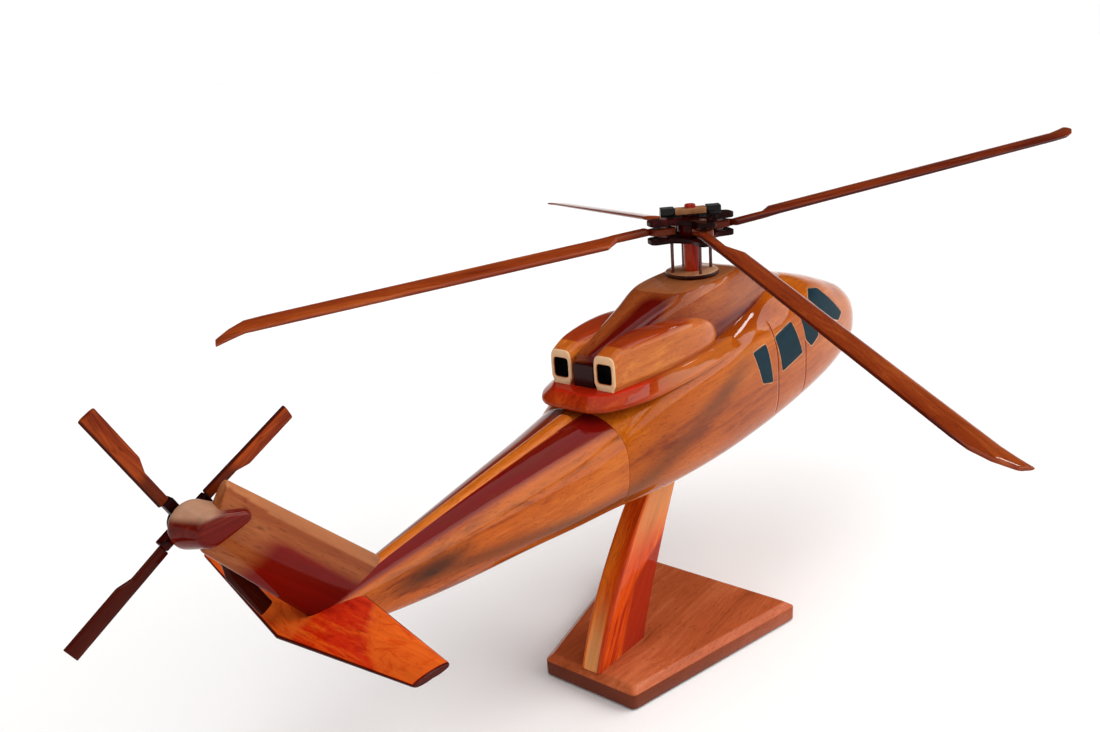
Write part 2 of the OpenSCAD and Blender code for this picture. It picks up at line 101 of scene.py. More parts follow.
def add_world():
    """What lights the model, and what it mirrors, is white at the horizon and dark overhead. The
    backdrop that the camera sees behind it is plain white."""
    n = Nodes(bpy.data.worlds.new("studio"), "Background")
    where = n.add("ShaderNodeTexCoord").outputs["Generated"]
    height = n.add("ShaderNodeSeparateXYZ", {0: where}).outputs["Z"]
    sweep = n.ramp(height, [(0.06, WHITE), (0.24, CEILING)])
    seen = n.add("ShaderNodeLightPath").outputs["Is Camera Ray"]
    bpy.context.scene.world = n.join(Color=n.mix(seen, sweep, colour4(WHITE)), Strength=1.0)


def add_floor():
    far = FLOOR_REACH
    data = bpy.data.meshes.new("floor")
    data.from_pydata([(-far, -far, 0), (far, -far, 0), (far, far, 0), (-far, far, 0)], [], [(0, 1, 2, 3)])
    floor = bpy.data.objects.new("floor", data)
    bpy.context.scene.collection.objects.link(floor)
    n = Nodes(bpy.data.materials.new("floor_white"))
    n.join(Base_Color=colour4(FLOOR_GREY), Roughness=0.8, Specular_IOR_Level=0.1)
    data.materials.append(n.owner)


def add_studio():
    bpy.context.scene.view_settings.view_transform = "Standard"
    add_world()
    for sun in SUNS:
        add_sun(*sun)
    add_floor()


# ---- Materials ----
MIX_FACTOR, MIX_A, MIX_B, MIX_RESULT = 0, 6, 7, 2  # sockets of a Mix node for colours


class Nodes:
    """Short way to build the node tree of a material or a world."""

    def __init__(self, owner, shader="Principled BSDF"):
        owner.use_nodes = True
        self.owner = owner
        self.tree = owner.node_tree
        self.shader = self.tree.nodes[shader]

    def add(self, kind, values=(), **settings):
        node = self.tree.nodes.new(kind)
        for key, value in settings.items():
            setattr(node, key, value)
        for key, value in dict(values).items():
            self.feed(node.inputs[key], value)
        return node

    def feed(self, socket, value):
        if isinstance(value, bpy.types.NodeSocket):
            self.tree.links.new(value, socket)
        else:
            socket.default_value = value

    def attribute(self, name, output="Fac"):
        return self.add("ShaderNodeAttribute", attribute_name=name).outputs[output]

    def math(self, op, a, b=0.0, clamp=False):
        return self.add("ShaderNodeMath", {0: a, 1: b}, operation=op, use_clamp=clamp).outputs[0]

    def vector(self, op, a, b):
        return self.add("ShaderNodeVectorMath", {0: a, 1: b}, operation=op).outputs[0]

    def centred(self, noise, gain):
        """A noise from 0 to 1, moved to lie about 0 and scaled."""
        return self.math("MULTIPLY", self.math("SUBTRACT", noise, 0.5), gain)

    def noise(self, coords, stretch, detail, rough, distort=0.0):
        """stretch is the number of cycles a metre along each axis."""
        spot = self.add("ShaderNodeMapping", {"Vector": coords, "Scale": stretch}).outputs[0]
        return self.add("ShaderNodeTexNoise", {"Vector": spot, "Scale": 1, "Detail": detail,
                                               "Roughness": rough, "Distortion": distort}).outputs["Fac"]

    def bump(self, height, strength, distance):
        values = {"Height": height, "Strength": strength, "Distance": distance}
        return self.add("ShaderNodeBump", values).outputs[0]

    def ramp(self, fac, stops, mode="EASE"):
        node = self.add("ShaderNodeValToRGB", {"Fac": fac})
        node.color_ramp.interpolation = mode
        bar = node.color_ramp.elements
        while len(bar) < len(stops):
            bar.new(0.5)
        for spot, (pos, colour) in zip(bar, stops):
            spot.position = pos
            spot.color = colour4(colour)
        return node.outputs["Color"]

    def mix(self, fac, a, b, blend="MIX"):
        sockets = {MIX_FACTOR: fac, MIX_A: a, MIX_B: b}
        return self.add("ShaderNodeMix", sockets, data_type="RGBA", blend_type=blend).outputs[MIX_RESULT]

    def mottled(self, fac, colour, spread):
        """A colour that the factor makes darker or lighter by the share spread."""
        light = [min(1, (1 + spread) * c) for c in colour]
        return self.mix(fac, colour4([(1 - spread) * c for c in colour]), colour4(light))

    def join(self, **sockets):
        for key, value in sockets.items():
            self.feed(self.shader.inputs[key.replace("_", " ")], value)
        return self.owner


def colour4(c):
    return (*c, 1)


# Cycles a metre of each noise, along and across the fibres
BANDS, FIBRES, BLOTCHES = (3, 60, 60), (12, 560, 560), (14, 34, 34)
PORES, SWELLS, FLECKS = (150, 2600, 2600), (60, 90, 90), (110, 170, 170)
# Colours of the pores, of the red flecks, and of a painted dark reflection
PORE_DARK, FLECK_RED, DARK_REFLECTION_COLOUR = (0.42, 0.36, 0.34), (0.72, 0.22, 0.12), (0.045, 0.016, 0.008)


def wood(name, dark, mid, light, stain_and_shade=(0.15, 0.004, 0.002), pale=None, seed=0.0, figure=1.0,
         flecks=0.0, coat=1.0, coat_rough=0.035):
    """Lacquered mahogany. Fibres run along X of the piece's own "grain" coordinates; the "tone"
    value darkens it towards deep red above 0 and lightens it towards its pale colour below 0, which
    gives real stains and also painted reflections, highlights and shade; the other per-point value
    darkens it to a deep brown as a painted dark reflection."""
    n = Nodes(bpy.data.materials.new(name + "_wood"))
    tone, dark_reflection = n.attribute("tone"), n.attribute("dark_reflection")
    place = n.vector("ADD", n.attribute("grain", "Vector"), (seed, seed * 0.7, seed * 1.3))
    bend = n.add("ShaderNodeTexNoise", {"Vector": place, "Scale": 14, "Detail": 2}).outputs["Color"]
    wavy = n.vector("ADD", place, n.vector("MULTIPLY", bend, (0.012, 0.012, 0.012)))
    bands = n.noise(wavy, BANDS, 3, 0.5)
    fibres = n.noise(wavy, FIBRES, 4, 0.6)
    blotches = n.noise(place, BLOTCHES, 2, 0.5)
    figuring = n.math("ADD", n.centred(bands, 1.5 * figure), n.centred(fibres, 1.0 * figure))
    fac = n.math("ADD", n.math("ADD", figuring, n.centred(blotches, 0.9)), 0.5, clamp=True)
    tint = n.ramp(fac, [(0.12, dark), (0.5, mid), (0.86, light)])
    pores = n.ramp(n.noise(wavy, PORES, 2, 0.5), [(0.28, PORE_DARK), (0.43, WHITE)], "LINEAR")
    tint = n.mix(0.75, tint, pores, "MULTIPLY")
    # Stain, painted light and shade, and the painted dark reflection follow the grain, so their edges are
    # ragged
    ragged = n.math("ADD", n.centred(bands, 0.7), n.centred(fibres, 0.5))
    strength = n.math("ADD", tone, n.math("MULTIPLY", ragged, n.math("ABSOLUTE", tone)))
    for sign, colour, spread in ((1.0, stain_and_shade, 0.4), (-1.0, pale or light, 0.38)):
        shade = n.math("MULTIPLY", strength, sign, clamp=True)
        tint = n.mix(shade, tint, n.mottled(fac, colour, spread))
    uneven = n.math("ADD", n.math("MULTIPLY", ragged, 2.0), 1.0)
    tint = n.mix(n.math("MULTIPLY", dark_reflection, uneven, clamp=True), tint, colour4(DARK_REFLECTION_COLOUR))
    if flecks:
        spots = n.noise(place, FLECKS, 4, 0.65, 1.2)
        tint = n.mix(flecks, tint, n.ramp(spots, [(0.46, WHITE), (0.66, FLECK_RED)]), "MULTIPLY")
    swell = n.noise(place, SWELLS, 2, 0.5)
    rough = n.ramp(fibres, [(0.2, (0.5, 0.5, 0.5)), (0.8, (0.34, 0.34, 0.34))])
    return n.join(Base_Color=tint, Roughness=rough, Normal=n.bump(fibres, 0.12, 0.0002),
                  Coat_Normal=n.bump(swell, 0.10, 0.0010), Coat_Weight=coat,
                  Coat_Roughness=coat_rough, Coat_IOR=1.22, Specular_IOR_Level=0.0)


def enamel(name, colour, rough=0.18, coat=0.6, speck=0.25, metallic=0.0, bump=0.12, shine=0.3):
    """Brushed-on enamel or plain metal: small changes of colour and gloss, brighter in places."""
    n = Nodes(bpy.data.materials.new(name))
    coords = n.add("ShaderNodeTexCoord").outputs["Object"]
    broad = n.noise(coords, (160, 160, 160), 3, 0.6)
    small = n.noise(coords, (900, 900, 900), 3, 0.6)
    bright = [min(1, 2 * c + 0.002) for c in colour]
    tint = n.mix(n.math("MULTIPLY", broad, speck), colour4(colour), colour4(bright))
    gloss = n.ramp(small, [(0.3, (rough * 0.7,) * 3), (0.75, (rough * 1.6,) * 3)])
    return n.join(Base_Color=tint, Roughness=gloss, Normal=n.bump(small, bump, 0.0002),
                  Coat_Weight=coat, Coat_Roughness=0.06, Coat_IOR=1.3, Specular_IOR_Level=shine,
                  Metallic=metallic)


def felt_cloth(name):
    n = Nodes(bpy.data.materials.new(name))
    coords = n.add("ShaderNodeTexCoord").outputs["Object"]
    fuzz = n.noise(coords, (1800, 1800, 1800), 4, 0.7)
    tint = n.ramp(fuzz, [(0.3, (0.02, 0.06, 0.035)), (0.7, (0.07, 0.15, 0.09))])
    return n.join(Base_Color=tint, Roughness=0.95, Normal=n.bump(fuzz, 0.6, 0.0003), Sheen_Weight=0.4)


# The deep colour of each wood gives real stains and also painted dark reflections and shade; the pale colour
# gives painted highlights and pale reflections, and on some woods real lighter patches.
MATS = {
    "base": wood("base", (0.18, 0.034, 0.010), (0.42, 0.090, 0.028), (0.56, 0.15, 0.055),
          stain_and_shade=(0.06, 0.007, 0.003), seed=1.3, figure=0.7),
    "post": wood("post", (0.30, 0.012, 0.002), (0.60, 0.060, 0.003), (0.74, 0.15, 0.012),
          stain_and_shade=(0.24, 0.006, 0.002), pale=(0.66, 0.27, 0.08), seed=4.1, figure=1.2),
    "cabin": wood("cabin", (0.19, 0.028, 0.003), (0.39, 0.078, 0.004), (0.52, 0.13, 0.007),
          pale=(0.56, 0.20, 0.05), seed=2.2, figure=0.7),
    "pylon": wood("pylon", (0.13, 0.016, 0.004), (0.26, 0.052, 0.010), (0.38, 0.10, 0.022),
          stain_and_shade=(0.11, 0.003, 0.001), pale=(0.42, 0.16, 0.06), seed=6.4, figure=0.7),
    "nacelle": wood("nacelle", (0.26, 0.030, 0.004), (0.44, 0.090, 0.010), (0.60, 0.17, 0.02),
          stain_and_shade=(0.22, 0.006, 0.002), pale=(0.86, 0.52, 0.30), seed=3.7, figure=0.9),
    "deck": wood("deck", (0.20, 0.014, 0.002), (0.34, 0.030, 0.004), (0.44, 0.06, 0.008),
          stain_and_shade=(0.44, 0.014, 0.003), pale=(0.42, 0.105, 0.016), seed=3.1),
    "boom": wood("boom", (0.18, 0.028, 0.006), (0.42, 0.085, 0.010), (0.54, 0.14, 0.02),
          stain_and_shade=(0.13, 0.003, 0.002), pale=(0.60, 0.20, 0.05), seed=8.5, figure=0.8),
    "spine": wood("spine", (0.34, 0.050, 0.004), (0.50, 0.115, 0.010), (0.60, 0.17, 0.02), seed=5.9),
    "fin": wood("fin", (0.12, 0.022, 0.008), (0.25, 0.062, 0.016), (0.34, 0.11, 0.035),
          stain_and_shade=(0.13, 0.003, 0.001), pale=(0.42, 0.17, 0.07), seed=7.7, figure=0.9),
    "stabilator": wood("stabilator", (0.34, 0.008, 0.002), (0.50, 0.022, 0.003), (0.66, 0.11, 0.008),
          stain_and_shade=(0.05, 0.004, 0.002), pale=(0.60, 0.095, 0.010), seed=9.2, flecks=0.6),
    "gearbox": wood("gearbox", (0.05, 0.003, 0.002), (0.10, 0.006, 0.003), (0.20, 0.02, 0.006),
          stain_and_shade=(0.09, 0.002, 0.001), pale=(0.60, 0.36, 0.22), seed=7.9),
    "blade": wood("blade", (0.11, 0.011, 0.003), (0.25, 0.036, 0.006), (0.38, 0.076, 0.013),
          stain_and_shade=(0.05, 0.003, 0.002), seed=10.4, figure=0.9),
    "tail_blade": wood("tail_blade", (0.12, 0.012, 0.003), (0.29, 0.045, 0.006), (0.42, 0.09, 0.012),
          stain_and_shade=(0.028, 0.001, 0.001), seed=11.6, coat=0.6),
    "mast": wood("mast", (0.12, 0.003, 0.001), (0.25, 0.006, 0.002), (0.42, 0.03, 0.006), seed=12.8),
    "ebony": wood("ebony", (0.004, 0.001, 0.001), (0.012, 0.001, 0.001), (0.05, 0.003, 0.002),
          stain_and_shade=(0.06, 0.002, 0.001), seed=13.9, coat=0.5),
    "rim": wood("rim", (0.32, 0.13, 0.05), (0.52, 0.26, 0.12), (0.70, 0.42, 0.24), seed=15.1),
    "ring": wood("ring", (0.30, 0.10, 0.04), (0.48, 0.20, 0.09), (0.66, 0.36, 0.20),
          stain_and_shade=(0.02, 0.002, 0.001), seed=16.3),
    "black": enamel("black_enamel", (0.003, 0.002, 0.002), shine=0.1, coat=0.4),
    "vent": enamel("vent_enamel", (0.020, 0.002, 0.002), 0.3, 0.2, shine=0.1),
    "rod": enamel("rod_enamel", (0.08, 0.016, 0.008), 0.3),
    "pane": enamel("pane_enamel", (0.006, 0.020, 0.030), 0.12, 0.2, 0.5, bump=0.04, shine=0.0),
    "button": enamel("button_lacquer", (0.62, 0.34, 0.22), 0.2, 1.0),
    "steel": enamel("plain_steel", (0.55, 0.55, 0.57), 0.3, 0.0, 0.1, 1.0),
    "brass": enamel("plain_brass", (0.60, 0.42, 0.16), 0.28, 0.0, 0.15, 1.0),
    "felt": felt_cloth("green_felt"),
}


# ---- Mesh helpers ----
CAP_BORDER = 0.25
TURNED_SIDES = 64
AXIS = 1e-3  # radius at which a turned shape is closed


def placed(verts, matrix):
    turn = np.array(matrix)
    return np.asarray(verts, float) @ turn[:3, :3].T + turn[:3, 3]


def piece(name, verts, faces, mat, body, nodes=(), slot=None, place=CRAFT, grain=None, tone=None,
          dark_reflection=None, crease=32):
    """One finished mesh. verts are in mm before place; grain maps them to wood coordinates; tone, which
    gives stain and painted light and shade, and the painted dark reflection are one number per vertex;
    edges sharper than crease degrees stay sharp."""
    co = np.asarray(verts, float)
    data = bpy.data.meshes.new(name)
    data.from_pydata((placed(co, place) * MM).tolist(), [], faces)
    fibre = (co if grain is None else grain(co)) * MM
    coords = data.attributes.new("grain", "FLOAT_VECTOR", "POINT")
    coords.data.foreach_set("vector", fibre.astype(np.float32).ravel())
    for key, value in (("tone", tone), ("dark_reflection", dark_reflection)):
        shade = np.zeros(len(co)) if value is None else np.asarray(value, float)
        data.attributes.new(key, "FLOAT", "POINT").data.foreach_set("value", shade.astype(np.float32))
    data.materials.append(MATS[mat])
    bm = bmesh.new()
    bm.from_mesh(data)
    bmesh.ops.recalc_face_normals(bm, faces=bm.faces)
    bm.to_mesh(data)
    bm.free()
    data.shade_smooth()
    data.set_sharp_from_angle(angle=math.radians(crease))
    thing = bpy.data.objects.new(name, data)
    bpy.context.scene.collection.objects.link(thing)
    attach(thing, body)
    if nodes:
        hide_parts(*nodes)
    return thing


def pull_in(ring, amount, along=(0, 0, 0)):
    """The ring shrunk towards its middle by amount and moved along a direction."""
    ring = np.asarray(ring, float)
    inward = ring.mean(0) - ring
    length = np.maximum(np.linalg.norm(inward, axis=1, keepdims=True), 1e-6)
    return ring + inward / length * np.minimum(amount, 0.5 * length) + np.asarray(along, float)


def shrunk(ring, share, step):
    """The ring at a share of its size, moved along X."""
    middle = ring.mean(0)
    return middle + (ring - middle) * share + np.array([step, 0, 0])


def skin(rings, caps=True):
    """Quads between rings of equal length. Each end is an n-gon inside a narrow flat border, so that
    it shades flat."""
    if caps:
        rings = [pull_in(rings[0], CAP_BORDER)] + list(rings) + [pull_in(rings[-1], CAP_BORDER)]
    m, count = len(rings[0]), len(rings)
    verts = np.concatenate([np.asarray(r, float) for r in rings])
    faces = [(i * m + k, i * m + (k + 1) % m, (i + 1) * m + (k + 1) % m, (i + 1) * m + k)
             for i in range(count - 1) for k in range(m)]
    if caps:
        faces.append(tuple(range(m)))
        faces.append(tuple(range((count - 1) * m, count * m)))
    return verts, faces


def merge(*parts):
    """Joins several (verts, faces) pairs into one."""
    verts, faces, start = [], [], 0
    for v, f in parts:
        verts.append(np.asarray(v, float))
        faces += [tuple(i + start for i in face) for face in f]
        start += len(v)
    return np.concatenate(verts), faces


def moved(part, matrix):
    verts, faces = part
    return placed(verts, matrix), faces


def at(x, y, z):
    return Matrix.Translation((x, y, z))


def turned(axis, degrees):
    return Matrix.Rotation(math.radians(degrees), 4, axis)


def rounded_end(rings, radius, at_start=False, steps=5):
    """Rings that round the last edge of a loft over, without making it longer."""
    rings = list(rings)
    if at_start:
        rings.reverse()
    end, before = rings[-1], rings[-2]
    along = end.mean(0) - before.mean(0)
    along = along / np.linalg.norm(along)
    kept = [r for r in rings if (end.mean(0) - r.mean(0)) @ along > radius]
    for k in range(steps + 1):
        a = math.pi / 2 * k / steps
        kept.append(pull_in(end, radius * (1 - math.cos(a)), -along * radius * (1 - math.sin(a))))
    if at_start:
        kept.reverse()
    return kept


def rounded_ends(rings, radius):
    return rounded_end(rounded_end(rings, radius), radius, at_start=True)


def signed_power(v, power):
    """Bends a sine or cosine, so that a circle becomes squarer or slimmer."""
    return np.sign(v) * np.abs(v) ** power


def circle(count, first=0.0):
    """Angles of evenly spaced points, starting a share of one step round."""
    return 2 * np.pi * (np.arange(count) + first) / count


def turned_rings(profile, sides):
    angles = [2 * math.pi * k / sides for k in range(sides)]
    return [[(r * math.cos(a), r * math.sin(a), z) for a in angles] for r, z in profile]


def lathe(profile, sides=TURNED_SIDES):
    """A turned piece from (radius, height) pairs, about Z."""
    return skin(turned_rings(profile, sides))


def disc(radius, low, high, edge=0.3, hole=0.0):
    """A turned disc with rounded rims, or a ring if hole is more than 0."""
    arc = [math.radians(a) for a in (0, 30, 60, 90)]
    outer = [(radius - edge + edge * math.sin(a), low + edge - edge * math.cos(a)) for a in arc]
    outer += [(radius - edge + edge * math.cos(a), high - edge + edge * math.sin(a)) for a in arc]
    if not hole:
        return lathe([(AXIS, low)] + outer + [(AXIS, high)])
    ring = [(hole, low)] + outer + [(hole, high), (hole, low)]
    return skin(turned_rings(ring, TURNED_SIDES), caps=False)


def round_corners(points, radius, steps=6):
    """A closed outline with each corner replaced by an arc-like curve."""
    out, n = [], len(points)
    for i in range(n):
        a, b, c = (np.asarray(points[(i + k) % n], float) for k in (-1, 0, 1))
        u, v = a - b, c - b
        reach = min(radius, 0.45 * np.linalg.norm(u), 0.45 * np.linalg.norm(v))
        p, q = b + u / np.linalg.norm(u) * reach, b + v / np.linalg.norm(v) * reach
        for k in range(steps + 1):
            t = k / steps
            out.append((1 - t) ** 2 * p + 2 * t * (1 - t) * b + t * t * q)
    return np.array(out)


def oblong(half_x, half_y, radius, steps):
    """A rectangle about the origin with rounded corners."""
    corners = [(-half_x, -half_y), (half_x, -half_y), (half_x, half_y), (-half_x, half_y)]
    return round_corners(corners, radius, steps)


def offset(outline, amount):
    """A closed outline moved outward by amount (inward if negative)."""
    pts = np.asarray(outline, float)
    area = 0.5 * np.sum(pts[:, 0] * np.roll(pts[:, 1], -1) - np.roll(pts[:, 0], -1) * pts[:, 1])
    edge = np.roll(pts, -1, 0) - np.roll(pts, 1, 0)
    edge /= np.linalg.norm(edge, axis=1, keepdims=True)
    out = np.stack([edge[:, 1], -edge[:, 0]], 1) * (1 if area > 0 else -1)
    return pts + out * amount


def mitred(points, amount):
    """A convex outline, listed anticlockwise, with its straight sides moved outward by amount."""
    pts, out = np.asarray(points, float), []
    for i in range(len(pts)):
        u, v = pts[i] - pts[i - 1], pts[(i + 1) % len(pts)] - pts[i]
        u = np.array([u[1], -u[0]]) / np.linalg.norm(u)
        v = np.array([v[1], -v[0]]) / np.linalg.norm(v)
        out.append(pts[i] + amount * (u + v) / (1 + u @ v))
    return out


def spread(outline, step):
    """Adds points to a closed outline so that none are further apart than step."""
    out, n = [], len(outline)
    for i in range(n):
        a, b = np.asarray(outline[i], float), np.asarray(outline[(i + 1) % n], float)
        parts = max(1, int(math.ceil(np.linalg.norm(b - a) / step)))
        out += [a + (b - a) * k / parts for k in range(parts)]
    return np.array(out)


def split_sides(box, longest, parts):
    """Points along a rounded box: each side longer than longest gets the same number of parts, so
    that boxes of any width have the same count."""
    out, n = [], len(box)
    for i in range(n):
        a, b = box[i], box[(i + 1) % n]
        count = parts if np.linalg.norm(b - a) > longest else 1
        out += [a + (b - a) * k / count for k in range(count)]
    return out


def slab(outline, low, high, edge=0.4, steps=3):
    """An outline stood up from low to high, with its rims rounded by edge."""
    shares = [k / steps for k in range(steps + 1)]
    levels = []
    for rim, sign, turn in ((low, 1, [1 - t for t in shares]), (high, -1, shares)):
        for a in [math.pi / 2 * t for t in turn]:
            levels.append((rim + sign * edge * (1 - math.sin(a)), -edge * (1 - math.cos(a))))
    return skin([[(p[0], p[1], z) for p in offset(outline, grow)] for z, grow in levels])


def ease(v, low, high):
    t = np.clip((np.asarray(v, float) - low) / (high - low), 0, 1)
    return t * t * (3 - 2 * t)


def bump_at(v, middle, reach):
    """1 at middle, falling to 0 at reach on either side."""
    return np.clip(1 - np.abs(np.asarray(v, float) - middle) / reach, 0, 1)


def stations(low, high, count, extra=()):
    return np.array(sorted(set(np.linspace(low, high, count).tolist() + [float(x) for x in extra])))


# ---- Carved bodies ----
# Rows of [x, half width, top, widest height, bottom, top and bottom power], as in the CAD source.
# A nacelle's rows end with the distance of its middle from the middle plane.
CABIN = [[-91, 23.5, -57.6, -76, -100, 2.3, 2.9], [-60, 27.4, -53, -77, -103.4, 5, 3.1],
         [-20, 29.2, -50, -78, -106, 5, 3.3], [20, 29.5, -44, -78.5, -106.6, 3, 3.4],
         [50, 29.2, -39, -78, -106.2, 2.6, 3.4], [75, 28.6, -41, -79, -105.4, 2.5, 3.2],
         [97, 27.3, -46.5, -80.5, -104.2, 2.5, 3], [115, 25.3, -52.5, -81.5, -102.6, 2.5, 2.8],
         [130, 22.8, -58.2, -82.5, -100.4, 2.6, 2.6], [142, 19, -65, -83.5, -98, 2.6, 2.4],
         [150, 13.8, -71.8, -84.5, -94.6, 2.4, 2.2], [155.5, 6.5, -78.6, -85.5, -90.5, 2, 2]]
BOOM = [[-227, 3.6, -74.4, -78.6, -83.4, 2, 2], [-215, 5.8, -71.6, -79.2, -86, 2, 2.2],
        [-195, 8.8, -68.8, -79.2, -89.8, 2, 2.4], [-170, 12.4, -65.8, -79, -93.2, 2, 2.5],
        [-140, 16.8, -62.4, -78, -95.8, 2, 2.6], [-115, 20.6, -59.8, -77, -98, 2, 2.8], CABIN[0]]
PYLON = [[x, half, top, -52, -60, power, 2] for x, half, top, power in (
    (-84, 6.6, -36.6, 4), (-66, 9.8, -32.2, 4.4), (-46, 13, -27.2, 5), (-26, 16.6, -23.2, 6.5),
    (-4, 17.6, -22.4, 6.5), (16, 16.6, -23.2, 6.5), (40, 14.8, -29, 4.4), (61, 12.6, -35.6, 3.4),
    (81, 9, -42.6, 3))]
NACELLE = [[-86.5, 5, -35.4, -45, -60, 5, 2, 10.6], [-75, 6.6, -32.4, -45, -60, 5, 2, 11.2],
           [-55, 8.2, -32, -45, -60, 5, 2, 12.8], [-35, 8.6, -33.4, -45.5, -60, 4.4, 2, 13.8],
           [-20, 7.6, -37.4, -46.5, -60, 3.2, 2, 13.8], [-12, 5.2, -42.2, -47.5, -60, 2.4, 2, 13.4],
           [-9, 2.6, -46.2, -49, -60, 2.2, 2, 13.2]]
X, HALF, TOP, WIDEST, BOTTOM, TOP_POWER, LOW_POWER, MIDDLE = range(8)
REAR_X, NOSE_X, TAIL_END_X = CABIN[0][X], CABIN[-1][X], BOOM[0][X]
MAST_H = 24
DECK_TOP = -49.6


def spline(a, b, c, d, t):
    return 0.5 * (2 * b + (c - a) * t + (2 * a - 5 * b + 4 * c - d) * t * t
                  + (3 * b - a - 3 * c + d) * t ** 3)


def fine_rows(rows, steps):
    rows = np.asarray(rows, float)
    last = len(rows) - 1
    out = [spline(rows[max(i - 1, 0)], rows[i], rows[i + 1], rows[min(i + 2, last)], k / steps)
           for i in range(last) for k in range(steps)]
    return np.array(out + [rows[last]])


class Carved:
    """A carved body: cross-sections at any x, and points of its surface from x and z or y and z."""

    def __init__(self, rows):
        self.table = fine_rows(rows, 40)

    def row(self, x):
        return np.array([np.interp(x, self.table[:, X], column) for column in self.table.T])

    def ring(self, x, sides):
        r = self.row(x)
        a = circle(sides, 0.5)
        up = np.sin(a) > 0
        height = np.where(up, r[TOP] - r[WIDEST], r[WIDEST] - r[BOTTOM])
        power = 2 / np.where(up, r[TOP_POWER], r[LOW_POWER])
        return np.stack([np.full(sides, r[X]), r[HALF] * signed_power(np.cos(a), power),
                         r[WIDEST] + height * signed_power(np.sin(a), power)], 1)

    def half_section(self, r, z):
        """Height and power of the upper or lower half of a section."""
        if z > r[WIDEST]:
            return r[TOP] - r[WIDEST], r[TOP_POWER]
        return r[WIDEST] - r[BOTTOM], r[LOW_POWER]

    def side(self, x, z, grow):
        """Distance of the surface from the middle plane at x and z."""
        r = self.row(x)
        height, power = self.half_section(r, z)
        v = min(0.999, abs(z - r[WIDEST]) / (height + grow))
        return (r[HALF] + grow) * (1 - v ** power) ** (1 / power)

    def front(self, y, z, grow):
        """x of the nose's surface at y and z, by halving."""
        low, high = 60.0, NOSE_X
        for _ in range(40):
            x = (low + high) / 2
            r = self.row(x)
            height, power = self.half_section(r, z)
            share = (abs(y) / (r[HALF] + grow)) ** power
            inside = share + (abs(z - r[WIDEST]) / (height + grow)) ** power < 1
            low, high = (x, high) if inside else (low, x)
        return low


CABIN_BODY = Carved(CABIN)
DOOR_SEAMS = (26.6, 57.5)
SEAM_REACH, SEAM_DEPTH = 0.45, 0.45


def build_cabin():
    extra = [s + d for s in DOOR_SEAMS for d in (-0.5, -0.25, 0, 0.25, 0.5)]
    rings = [CABIN_BODY.ring(x, 160) for x in stations(REAR_X, NOSE_X, 190, extra)]
    rings = rounded_end(rings, 0.45, at_start=True)
    tip = rings[-1]
    rings += [shrunk(tip, share, step) for share, step in ((0.9, 0.4), (0.72, 0.9), (0.45, 1.3), (0.15, 1.5))]
    verts, faces = skin(rings)
    x, y, z = verts.T
    # Door seams: fine grooves down both sides
    on_side = ease(z, -97, -95) * (1 - ease(z, -53, -51)) * ease(np.abs(y), 16, 20)
    depth = sum(bump_at(x, s, SEAM_REACH) for s in DOOR_SEAMS) * on_side * SEAM_DEPTH
    verts[:, 1] -= np.sign(y) * depth
    # The roof is stained deep red: a painted dark reflection of the dark overhead
    roof = 0.44 * ease(z, -56, -47) * (1 - ease(x, 20, 60))
    groove = 0.9 * (depth > 0.1)
    pale_nose = 0.3 * ease(x, 60, 130) * ease(z, -100, -60)
    # A painted dark reflection: a deep brown band climbs forward from the lower rear corner
    band = ease(bump_at(z - 0.33 * (x - REAR_X), -91, 10), 0, 1)
    piece("cabin", verts, faces, "cabin", "airframe", ["cabin_body"], "body_wood",
          tone=np.maximum(roof, groove) - pale_nose, dark_reflection=0.55 * band * (1 - ease(x, -30, 20)), crease=50)


def build_boom():
    boom = Carved(BOOM)
    rings = [boom.ring(x, 144) for x in stations(TAIL_END_X, REAR_X, 110)]
    rings = rounded_end(rings, 0.45)
    tip = rings[0]
    rings = [shrunk(tip, 0.2, -1.4), shrunk(tip, 0.7, -1.0)] + rings
    verts, faces = skin(rings)
    x, y, z = verts.T
    rows = {v: boom.row(v) for v in np.unique(x)}
    half, top, widest = (np.array([rows[v][k] for v in x]) for k in (HALF, TOP, WIDEST))
    rise = np.clip((z - widest) / (top - widest), -1, 1)
    # The upper faces are stained deep red: a painted dark reflection of the dark overhead
    upper = ease(rise, 0.66, 0.80) * (y < 0) + 0.8 * ease(rise, 0.7, 0.9) * (y >= 0)
    forward = ease(x, -230, REAR_X)
    # A painted dark reflection in deep brown: a band from mid-height at the tail down to the foot at the
    # seam, and a patch near the tail
    streak = 0.62 * ease(bump_at(rise, 0.15 - 0.95 * forward, 0.36), 0, 1) * ease(x, -215, -190)
    reflection_patch = 1.1 * ease(bump_at(rise, 0.1, 0.5), 0, 1) * ease(bump_at(x, -186, 24), 0, 1)
    tone = 0.95 * upper * (np.abs(y) >= 0.16 * half)
    # Below the dark top a pale line along the upper shoulder: a painted highlight
    tone = np.where(tone > 0.05, tone, -0.25 * bump_at(rise, 0.55, 0.2))
    piece("boom", verts, faces, "boom", "airframe", ["tail_boom"], "boom_wood", tone=tone,
          dark_reflection=np.maximum(streak, reflection_patch), crease=50)


def build_spine():
    """The pale strip let in along the top of the boom."""
    a = circle(40)
    rings = []
    for t in np.linspace(0, 1, 60):
        width, height = 3.4 - 1.2 * t, -58.8 - 12 * t
        rings.append(np.stack([np.full(len(a), -99 - 104 * t), width * signed_power(np.cos(a), 0.75),
                               height + 0.62 * width * signed_power(np.sin(a), 0.75)], 1))
    verts, faces = skin(rounded_ends(rings, 0.5))
    piece("spine", verts, faces, "spine", "airframe", ["tail_spine"], "boom_wood", crease=50)


